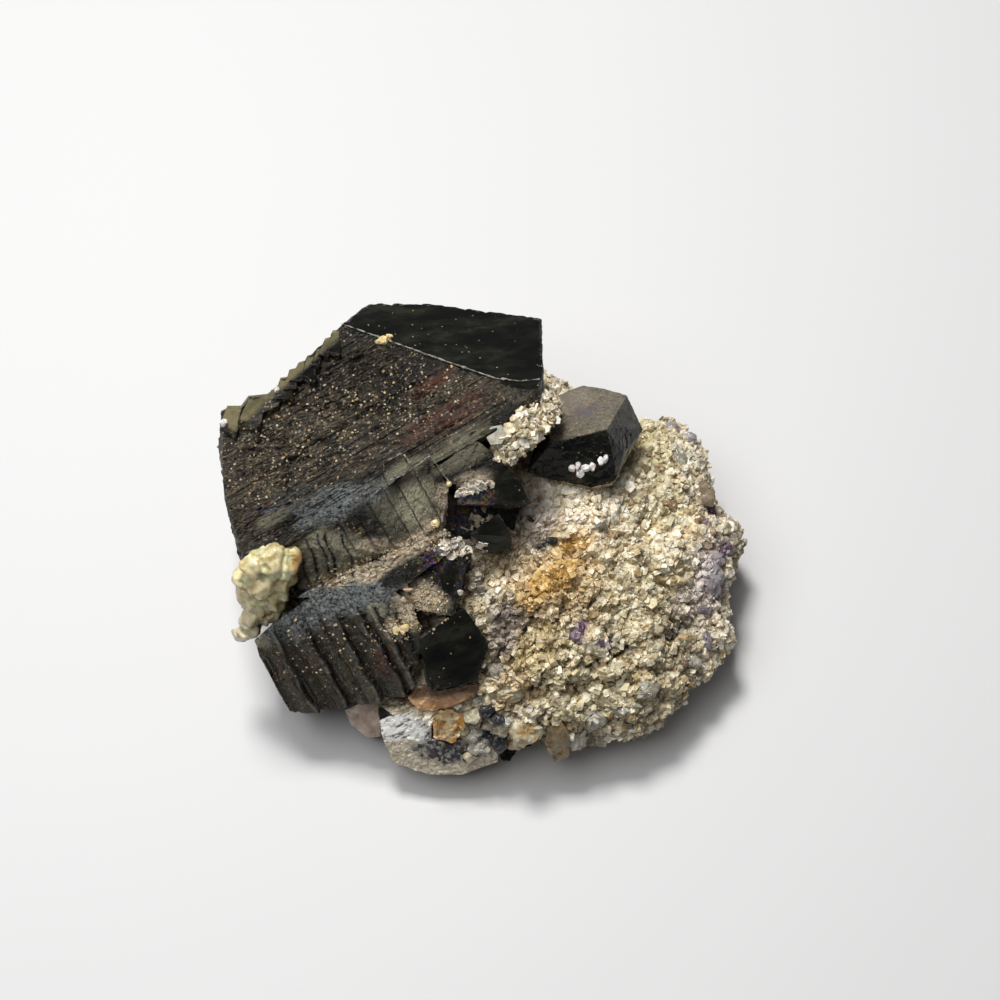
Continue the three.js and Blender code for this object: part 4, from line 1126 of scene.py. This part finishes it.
def cluster_values(points, normals):
    """Where the cluster is smooth, stained, pitted and stepped, from where each place is seen.

    The slabs of its front get painted shading each, lighter towards their right end, a painted highlight
    along the crest and painted shade in the gap at their ends; the grooves of the middle crystal get the same
    painted shade and highlight, and the stair faces that turn up a painted reflection."""
    u, v = seen_at(points)
    wobble = relief(points - SHIFT, 1.8, 15) * 6
    facing = eye_direction(normals)
    toward = soft_step(facing[:, 2], 0.05, 0.3)
    values = {}
    for key, ovals in CLUSTER_STAINS.items():
        values[key] = np.clip(stained(u + wobble, v - wobble, ovals), 0, 1) * toward
    back_face = soft_step(facing @ BACK_FACE, 0.93, 0.98) * (1 - stair_share(u, v))
    values["smooth"] = np.maximum(values["smooth"], back_face)
    # Painted reflection of the table on the stair faces that turn upwards
    values["painted_stair_reflection"] = stair_share(u, v) * soft_step(facing[:, 1], 0.42, 0.62)
    for key in ("brown", "olive", "blue", "beige", "tarnish", "pitted"):
        values[key] = values[key] * (1 - values["painted_stair_reflection"])
    index, share, left = slab_place(u, v)
    front = soft_patch(u, v, (340, 665), (100, 60)) > 0.25
    front = front * (1 - values["smooth"]) * soft_step(v + 0.3 * (u - 300) + 10 * share, 630, 634)
    values["ledges"] = values["ledges"] * (1 - values["smooth"]) * soft_step(v + 0.35 * (u - 300), 634, 646)
    # Painted shading: each slab takes its own share of the slab grey, more towards its right end
    values["painted_slab_shading"] = front * PAINTED_SLAB_SHADES[index] * (0.35 + 0.65 * share)
    broken = soft_step(relief(points - SHIFT, 1.3, 17), -0.5, 0.4)
    # Painted highlight along each slab's crest, and painted shade in the gap at its right end
    values["painted_crest_highlight"] = front * soft_step(-left, -5.5, -4.5) * soft_step(left, 2.5, 3.5) * broken * 0.8
    values["painted_gap_shade"] = front * (1 - soft_step(left, 2.0, 3.2))
    values["shelved"] = front * (share - 0.5)
    across = u - 0.33 * v + 1.2 * np.sin(0.2 * v)
    middle_front = soft_patch(u, v, (326, 560), (40, 26), -8) > 0.3
    # Grooves of the middle crystal: painted shade in each groove and a painted highlight beside it
    for end in MIDDLE_GROOVES:
        values["painted_gap_shade"] = np.maximum(values["painted_gap_shade"], middle_front * (np.abs(across - end) < 1.5))
        values["painted_crest_highlight"] = np.maximum(values["painted_crest_highlight"], 0.7 * middle_front * (np.abs(across - end + 3) < 1.3))
    return values


# Facets of the growth steps, each given as spacing, step, tilt and salt
BIG_STEPS = [(0.55, 0.03, 0.04, 41), (1.5, 0.04, 0.03, 42)]
FRONT_STEPS = [(0.7, 0.04, 0.05, 43), (1.7, 0.08, 0.05, 44)]
PITS = [(1.3, 0.2, 0.34, 48), (0.65, 0.1, 0.3, 49)]
SHELF_HEIGHT = 0.55
FRONT_ANGLE = math.radians(-61)


def cluster_push(points, values):
    """How far the metal stands out along its normal.

    Growth steps are long cells along the striae on the big crystal and down the front faces on the
    others. Grain, lumps of dust, pits and the shelves of the slabs are added."""
    p, q, w = lattice(points)
    u, v = seen_at(points)
    # 1 above the line where the big crystal ends
    big = soft_step((566 - v) + (u - 238) * -0.55, -2, 6)
    rough = (1 - values["smooth"]) * (1 - values["painted_stair_reflection"])
    striae = np.stack([p * 0.16, q, w * 0.5], axis=1)
    across, rise, near = eye_frame(points)
    c, s = math.cos(FRONT_ANGLE), math.sin(FRONT_ANGLE)
    down = np.stack([(across * c + rise * s) * 0.14, -across * s + rise * c, near * 0.3], axis=1)
    on_big = layered(striae, BIG_STEPS) * (1 - 0.6 * values["pitted"])
    on_front = layered(down, FRONT_STEPS)
    grain = facets(points, 0.9, 0.05, 0.12, 45) + 0.05 * relief(points, 0.5, 46)
    lumpy = np.clip(values["beige"] + 0.3 * values["blue"], 0, 1) * facets(points, 0.8, 0.1, 0.26, 47)
    pits = values["pitted"] * layered(points, PITS)
    relief_of_faces = big * on_big + (1 - big) * on_front + grain + lumpy + big * pits
    return SHELF_HEIGHT * values["shelved"] + rough * relief_of_faces


def build_cluster(look, draw):
    """The grown-together crystals with their relief; gives back the places of their surface."""
    points, triangles = finer(*node_shape("arsenopyrite_cluster"), 0.44, 1.0)
    normals = outward(points, triangles)
    values = cluster_values(points, normals)
    points = points + normals * cluster_push(points, values)[:, None]
    piece = make_piece("arsenopyrite_crystals", points, triangles, look, values)
    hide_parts("arsenopyrite_cluster")
    build_specks(points, triangles, draw)
    return points


# Painted highlights along the crystal edges, as thin pale tubes: stops across, down and near, and their half
# width in millimetres
PAINTED_HIGHLIGHT_EDGES = [
    ([(341, 323.5, 21.6), (385, 339, 23.9), (440, 359, 27), (495, 378, 29.4)], 0.07),
    ([(495, 378, 29.4), (520, 381, 29.8), (540, 379, 29.6)], 0.05),
    ([(371, 497, 32.2), (388, 482, 32.5), (404, 474, 32.5), (430, 456, 32.5)], 0.06),
    ([(431, 456, 32.5), (440, 470, 32), (449, 482, 31.7)], 0.06),
    ([(382, 463, 32.7), (403, 453, 32.7), (410, 463, 32.8), (389, 481, 32.9)], 0.05),
    ([(383, 463, 32.7), (389, 481, 32.9)], 0.05),
]


def on_surface(ground, stops, width):
    """Stops moved in depth onto the surface where they are seen, with more stops between them."""
    stops = np.array(stops, float)
    share = np.linspace(0, len(stops) - 1, 10 * len(stops))
    u, v, near = (np.interp(share, np.arange(len(stops)), column) for column in stops.T)
    found = np.array([surface_near(ground, *place, 4.0, back) for place, back in zip(zip(u, v), near)])
    steady = np.polyval(np.polyfit(share, found, 3), share)
    return list(zip(u, v, steady - 0.1 - 0.5 * width))


def build_highlight_edges(ground):
    """Painted highlights: bright thin ridges where crystal faces meet, each a broken thin tube."""
    look = grain_look("painted_highlight_edge", (0.03, 0.027, 0.022), (0.36, 0.34, 0.3), 0.0, 0.5, 0.35)
    parts = []
    for stops, width in PAINTED_HIGHLIGHT_EDGES:
        stops = on_surface(ground, stops, width)
        place, direction, triangles = tube(stops, [width] * len(stops), 80, 6, width, width)
        place = place + direction * (0.1 * facets(place, 0.5, 0.6, 0.8, 71))[:, None]
        parts.append((place + SHIFT, triangles))
    points, triangles = joined(parts)
    make_piece("painted_highlight_edges", points, triangles, look)


# Single grains on the crystals, some of them painted glints: across, down, near, half width, half height,
# look
PERCHED = [
    # The first three yellow grains, on the top edge of the big crystal, are painted glints
    (383, 340, 24.4, 5.5, 5, "yellow"), (389, 337, 24.4, 4, 4, "yellow"), (378, 342, 24.2, 3.5, 3, "yellow"),
    (224, 423, 23.2, 4.5, 4.5, "white_and_glint"), (277, 390, 23.2, 3, 4, "white_and_glint"), (404, 629, 29, 5, 6, "yellow"),
    # The white grains from 572 across onwards, on the black lower face of the upper-right crystal, are
    # painted glints
    (396, 630, 28.8, 4, 4, "yellow"), (572, 468, 23.2, 3, 4, "white_and_glint"), (592, 466, 23.2, 3, 5, "white_and_glint"),
    (436, 524, 29.8, 4, 3.5, "yellow"), (449, 484, 31.8, 3, 2.5, "yellow"), (606, 459, 22.8, 2.5, 4, "white_and_glint"),
    (408, 590, 29.9, 5, 2, "cream"), (578, 465, 23.2, 2.5, 4, "white_and_glint"), (585, 468, 23.4, 5, 3.5, "white_and_glint"),
    (601, 461, 22.8, 3.5, 5, "white_and_glint"), (580, 472, 22.8, 5, 5, "white_and_glint"),
    (473, 716, 22.8, 9, 10, "cream"), (463, 728, 22.2, 6, 7, "cream"),
    (481, 746, 20.6, 12, 10, "clear"), (470, 757, 19.4, 7, 6, "cream"), (474, 735, 21.6, 9, 8, "clear"),
    (488, 700, 23, 6, 7, "cream"), (478, 701, 23, 5, 4, "clear"),
]


PERCHED_STONES = {
    "yellow": ("yellow_grain_and_painted_glint", (0.5, 0.36, 0.14), (0.78, 0.68, 0.4), 0.0, 0.6, 0.4),
    "white_and_glint": ("white_grain_and_painted_glint", (0.5, 0.46, 0.42), (0.85, 0.82, 0.8), 0.0, 0.5, 0.3),
    "cream": ("cream_crystal", (0.34, 0.28, 0.17), (0.66, 0.6, 0.44), 0.15, 0.8, 0.25),
    "clear": ("clear_crystal", (0.36, 0.34, 0.28), (0.66, 0.64, 0.57), 0.4, 0.9, 0.15),
}


def build_perched(ground, draw):
    """Single small grains that sit on the surfaces of `ground`, some of them painted glints, one mesh for
    each kind.
    """
    kinds = {}
    for u, v, near, half_width, half_height, kind in PERCHED:
        reach = np.array([half_width, half_height, (half_width + half_height) / 2]) * SEEN_SCALE
        near = surface_near(ground, u, v, 4.0, near)
        place = seen(u, v, near - 0.25 * reach[2]) + SHIFT
        kinds.setdefault(kind, []).append(broken_ball(place, reach, draw))
    for kind, parts in kinds.items():
        points, triangles = joined(parts)
        make_piece("perched_" + kind, points, triangles, grain_look(*PERCHED_STONES[kind]))


RIM_PATH = [
    (524, 470, 21.8), (545, 476, 22), (565, 482, 21.8), (591, 488, 21.4), (610, 484, 21.4), (619, 475, 21.4),
]
RIM_WIDTH = [0.12, 0.26, 0.28, 0.2, 0.2, 0.1]


def build_rim():
    """Gold-brown rim under the upper-right crystal."""
    look = grain_look("gold_rim", (0.1, 0.07, 0.03), (0.36, 0.27, 0.13), 0.0, 0.7, 0.45)
    place, direction, triangles = tube(RIM_PATH, RIM_WIDTH, 90, 10, 0.3, 0.6)
    points = place + direction * (facets(place, 0.7, 0.06, 0.16, 72))[:, None] + SHIFT
    make_piece("gold_rim", points, triangles, look)


# Ovals of the raised view where tinted dust, and then pale flakes, lie on the crystals
BAND_OVALS = [
    ((424, 608), (24, 24), -20, 1), ((372, 562), (60, 7), -20, 0.8), ((398, 630), (14, 12), 0, 1),
    ((436, 536), (22, 12), -30, 1), ((330, 582), (24, 5), -6, 0.6), ((480, 575), (14, 30), 0, 0.8),
    ((300, 440), (96, 52), -32, 0.1), ((410, 398), (80, 34), -30, 0.13), ((330, 650), (70, 36), 0, 0.06),
]
DUST_COUNT = 2700
PEARLY_OVALS = [
    ((472, 488), (19, 5), -12, 1), ((462, 545), (22, 6), 4, 1), ((455, 552), (12, 8), 0, 0.6),
    ((480, 560), (10, 14), 0, 0.5), ((466, 598), (8, 12), 0, 0.4),
]


def build_specks(points, triangles, draw):
    """Small tinted grains lodged on the crystals, and the pale mica caught between them."""
    a, b, c = (points[triangles[:, i]] for i in range(3))
    u, v = seen_at((a + b + c) / 3)
    facing = eye_direction(np.cross(b - a, c - a))
    size = np.linalg.norm(facing, axis=1)
    facing = (facing[:, 2] > 0.25 * size) & (facing @ BACK_FACE < 0.93 * size)
    dust = mica_look("tinted_grains", 0.5)
    place, lean = strewn(points, triangles, DUST_COUNT, draw, stained(u, v, BAND_OVALS) * facing)
    widths = 0.1 + 0.3 * draw.random(DUST_COUNT) ** 1.6
    corners, faces = hex_plates(place, leaning(lean, 0.8, draw), widths, widths * 0.5, draw)
    make_piece("tinted_grains", corners, faces, dust, {
        "tint_and_painted_shade": per_corner(np.clip(draw.normal(0.28, 0.2, DUST_COUNT), 0, 1)),
        "ochre": per_corner((draw.random(DUST_COUNT) < 0.3) * 0.7),
        "lilac": per_corner((draw.random(DUST_COUNT) < 0.2) * 0.7),
    })
    pearl = mica_look("mica_pearly", 0.25)
    place, lean = strewn(points, triangles, CAUGHT_FLAKES, draw, stained(u, v, PEARLY_OVALS) * facing)
    widths = draw.uniform(0.35, 1.1, CAUGHT_FLAKES)
    corners, faces = hex_plates(place + lean * 0.05, leaning(lean, 0.4, draw), widths, widths * 0.15, draw)
    make_piece("mica_caught", corners, faces, pearl, {
        "tint_and_painted_shade": per_corner(np.clip(draw.normal(0.75, 0.15, CAUGHT_FLAKES), 0, 1)),
        "lilac": np.full(len(corners), 0.45),
    })


def build_simple(node, name, look, longest, step, values=None, smooth=False):
    """A CAD mineral with its faces broken by fine facets and chance relief."""
    points, triangles = finer(*node_shape(node), longest)
    normals = outward(points, triangles)
    push = facets(points, 0.9, step, step * 1.6, 51) + step * 0.5 * relief(points, 0.45, 52)
    points = points + normals * push[:, None]
    made = values(points, normals) if values else None
    piece = make_piece(name, points, triangles, look, made, smooth)
    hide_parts(node)


def upper_right_values(points, normals):
    """Brown-grey where it faces up, smooth and black below, with one small tarnish patch."""
    u, v = seen_at(points)
    facing = eye_direction(normals)
    up = soft_step(facing[:, 1], 0.25, 0.5)
    values = {key: np.zeros(len(points)) for key in ("rust", "painted_stair_reflection", "ledges", "painted_slab_shading", "painted_crest_highlight", "painted_gap_shade")}
    values.update({
        "smooth": 1 - up, "brown": up, "olive": up * 0.12, "blue": up * 0.1,
        "beige": up * (0.12 + 0.2 * soft_patch(u, v, (568, 402), (30, 12), -15)),
        "tarnish": soft_patch(u, v, (583, 409), (14, 8)) * 0.8,
    })
    return values


def peach_values(points, normals):
    """Dark brown along its top, under the crystals."""
    u, v = seen_at(points)
    return {"umber": soft_step(-v - 0.1 * (u - 405), -705, -697)}


def silvery_values(points, normals):
    """Beige where it turns down to the front, with a broken blue-black patch."""
    u, v = seen_at(points)
    wobble = relief(points - SHIFT, 1.4, 16) * 7
    return {
        "dark": np.clip(np.maximum(
            soft_patch(u + wobble, v + wobble, (446, 750), (32, 15), 8) * 1.2,
            soft_patch(u + wobble, v - wobble, (488, 728), (12, 18)),
        ), 0, 1),
        "cream": np.clip(
            soft_step(v - 0.06 * (u - 400) + wobble * 0.3, 737, 742) + soft_step(u, 450, 458), 0, 1,
        ),
    }


# Yellow crust

def ball_grid(columns, rows):
    """Unit ball over (angle, rise) with closed poles: places and triangles."""
    rise = np.linspace(-math.pi / 2, math.pi / 2, rows + 2)[1:-1]
    angle = np.arange(columns) / columns * 2 * math.pi
    ring = np.stack(np.broadcast_arrays(
        np.cos(rise)[:, None] * np.cos(angle), np.cos(rise)[:, None] * np.sin(angle), np.sin(rise)[:, None],
    ), axis=-1).reshape(-1, 3)
    grid = np.arange(rows * columns).reshape(rows, columns)
    right = np.roll(grid, -1, axis=1)
    quads = np.stack([grid[:-1], right[:-1], right[1:], grid[1:]], axis=-1).reshape(-1, 4)
    low, high = rows * columns, rows * columns + 1
    triangles = np.vstack([
        quads[:, [0, 1, 2]], quads[:, [0, 2, 3]],
        np.stack([right[0], grid[0], np.full(columns, low)], axis=1),
        np.stack([grid[-1], right[-1], np.full(columns, high)], axis=1),
    ])
    return np.vstack([ring, [[0, 0, -1]], [[0, 0, 1]]]), triangles


# Lobes of the crust as they are seen: across, down, near, width
LOBES = [
    (254, 565, 32, 30), (272, 562, 32.2, 34), (286, 564, 31.6, 24), (262, 577, 30.6, 40),
    (281, 579, 29.6, 32), (252, 592, 27.8, 32), (269, 597, 27.4, 36), (256, 611, 25.8, 28),
    (251, 624, 24, 22), (247, 633, 22.4, 13), (270, 612, 25.4, 24), (246, 577, 29.6, 24),
    (291, 556, 31.4, 18), (276, 590, 28.6, 26), (262, 604, 27, 24),
]
CRUST_GLASS = ((0.5, 0.4, 0.17), (0.9, 0.8, 0.5))


def build_crust(draw):
    """Botryoidal crust over the CAD crust: overlapping balls, wrinkled along their own radii.

    The folds are 0.35 - |chance| at two sizes, plus broad chance relief."""
    look = grain_look("yellow_crust_glass", *CRUST_GLASS, 0.2, 1.1, 0.08)
    middles = []
    for u, v, near, width in LOBES:
        radius = width * SEEN_SCALE / 2
        middles.append((seen(u, v, near - radius), radius))
    for u, v, near, _ in LOBES:
        place = seen(u + draw.uniform(-9, 9), v + draw.uniform(-7, 9), near - draw.uniform(1.2, 2.2))
        middles.append((place, draw.uniform(0.7, 1.3)))
    ball, triangles = ball_grid(40, 24)
    parts = [(middle + ball * radius * (1, 1, 1.1), triangles) for middle, radius in middles]
    points, faces = joined(parts)
    direction = np.tile(ball, (len(middles), 1))
    ridged = np.abs(relief(points, 1.4, 62)), np.abs(relief(points, 0.7, 63))
    folds = 0.35 - 1.0 * ridged[0] - 0.25 * ridged[1] + 0.25 * relief(points, 2.4, 64)
    points = points + direction * folds[:, None] + SHIFT
    make_piece("crust_lobes", points, faces, look, crust_values(points), smooth=True)
    build_simple("yellow_crust", "crust_bed", look, 0.5, 0.08, crust_values, smooth=True)


def crust_values(points, normals=None):
    """Orange-brown on the right and low edge, cream at the bottom."""
    u, v = seen_at(points)
    rusty = np.maximum(soft_patch(u, v, (300, 566), (8, 16)), soft_patch(u, v, (264, 622), (8, 12), 20))
    return {"rusty": np.clip(rusty, 0, 1), "chalk": soft_step(v, 600, 625)}


# Floor, light and camera

FLOOR_REACH = 1.6
FLOOR_COLOUR = (0.55, 0.55, 0.555, 1)


def build_floor():
    """A plain pale table that reaches past the view."""
    mesh = bpy.data.meshes.new("floor")
    corners = [(x * FLOOR_REACH, y * FLOOR_REACH, 0) for x, y in ((-1, -1), (1, -1), (1, 1), (-1, 1))]
    mesh.from_pydata(corners, [], [(0, 1, 2, 3)])
    look = Look("pale_table")
    look.set(Roughness=0.6, Base_Color=FLOOR_COLOUR)
    mesh.materials.append(look.material)
    floor = bpy.data.objects.new("floor", mesh)
    bpy.context.scene.collection.objects.link(floor)


# Lamps: name, place in metres, side of the square, power in watts and colour
LAMPS = [
    ("softbox_above", (-0.16, -0.02, 0.45), 0.34, 1.3, (1, 1, 1)),
    ("window_left", (-0.065, 0.175, 0.44), 0.1, 2.3, (1.0, 0.99, 0.97)),
]
LAMP_TARGET = (0, 0, 0.01)
ROOM_COLOUR = (0.95, 0.97, 1.0, 1)
ROOM_LIGHT = 0.11


def area_light(name, place, size, power, colour):
    """A square lamp that points at the specimen."""
    light = bpy.data.lights.new(name, "AREA")
    light.size = size
    light.energy = power
    light.color = colour
    lamp = bpy.data.objects.new(name, light)
    back = np.array(place, float) - np.array(LAMP_TARGET, float)
    back /= np.linalg.norm(back)
    side = np.cross([0, 1, 0.01], back)
    side /= np.linalg.norm(side)
    turn = Matrix(np.column_stack([side, np.cross(back, side), back]).tolist()).to_4x4()
    turn.translation = place
    lamp.matrix_world = turn
    bpy.context.scene.collection.objects.link(lamp)


def build_light():
    """A soft large lamp and a smaller bright one, in a dim room."""
    world = bpy.data.worlds.new("soft_room")
    world.use_nodes = True
    world.node_tree.nodes["Background"].inputs["Color"].default_value = ROOM_COLOUR
    world.node_tree.nodes["Background"].inputs["Strength"].default_value = ROOM_LIGHT
    bpy.context.scene.world = world
    for lamp in LAMPS:
        area_light(*lamp)
    bpy.context.scene.view_settings.view_transform = "Standard"


SENSOR_MM = 36


def build_camera():
    """The raised eye of `seen`, as a camera."""
    camera = bpy.data.cameras.new("eye")
    camera.sensor_width = SENSOR_MM
    camera.lens = SENSOR_MM * EYE_DISTANCE / (SEEN_SCALE * PHOTO_WIDTH)
    camera.clip_start = 0.01
    eye = bpy.data.objects.new("eye", camera)
    turn = Matrix(((1, 0, 0), (0, SINE, -COSINE), (0, COSINE, SINE))).to_4x4()
    turn.translation = (standing(AIM_X, AIM_RISE, EYE_PLANE + EYE_DISTANCE) + SHIFT) * MM
    eye.matrix_world = turn
    bpy.context.scene.collection.objects.link(eye)
    bpy.context.scene.camera = eye


# Small minerals: node, piece, slot, longest edge and facet step, values, then the look of the stone
# (name, deep and pale colour, light through it, cloud size, gloss)
SMALL_MINERALS = [
    ("tan_prism", "tan_prism_grain", "tan_prism", 0.4, 0.05, None,
     ("tan_prism_stone", (0.3, 0.22, 0.17), (0.56, 0.46, 0.38), 0.1, 1.4)),
    ("peach_plate", "peach_plate_grain", "peach_plate", 0.4, 0.12, peach_values,
     ("peach_stone", (0.4, 0.2, 0.085), (0.66, 0.43, 0.24), 0.0, 1.6, 0.4)),
    ("orange_stained_crystal", "orange_grain", "orange_stained_crystal", 0.3, 0.2, None,
     ("orange_stone", (0.45, 0.2, 0.03), (0.78, 0.66, 0.4), 0.2, 1.1)),
    ("brown_quartz_grain", "quartz_grain", "brown_quartz", 0.4, 0.06, None,
     ("quartz_brown", (0.16, 0.1, 0.04), (0.4, 0.29, 0.14), 0.35, 1.5, 0.15)),
    ("tan_edge_grain", "tan_edge_stone", "tan_grain", 0.4, 0.05, None,
     ("edge_tan", (0.3, 0.22, 0.14), (0.55, 0.45, 0.33), 0.3, 1.2, 0.2)),
    ("pink_edge_grain", "pink_edge_stone", "pink_grain", 0.4, 0.05, None,
     ("edge_pink", (0.4, 0.26, 0.2), (0.68, 0.52, 0.45), 0.3, 1.2, 0.2)),
    ("mica_book", "clear_book", "clear_mica", 0.4, 0.02, None,
     ("mica_clear", (0.45, 0.4, 0.3), (0.8, 0.77, 0.68), 0.3, 1.0, 0.12)),
]
DRAW_SEED = 1907


SINGLE_CRYSTALS = ("upper_right_arsenopyrite", "lower_arsenopyrite")


def build_single_crystals(metal):
    """The two crystals that stand apart from the cluster."""
    upper, lower = SINGLE_CRYSTALS
    build_simple(upper, "upper_right_crystal", metal, 0.35, 0.03, upper_right_values)
    silvery = silvery_look()
    build_simple(lower, "lower_silvery_crystal", silvery, 0.35, 0.05, silvery_values)


def main():
    """Every mineral, then the floor, the lamps and the eye, with all chance draws from one seed."""
    draw = np.random.default_rng(DRAW_SEED)
    mica = build_mica(draw)
    metal = arsenopyrite_look()
    cluster = build_cluster(metal, draw)
    build_highlight_edges(cluster)
    others = [finer(*node_shape(node), 0.4)[0] for node in SINGLE_CRYSTALS]
    build_perched(np.vstack([cluster, mica, *others]), draw)
    build_rim()
    build_single_crystals(metal)
    build_crust(draw)
    for node, name, slot_name, longest, step, values, stone in SMALL_MINERALS:
        build_simple(node, name, grain_look(*stone), longest, step, values)
    build_floor()
    build_light()
    build_camera()


main()
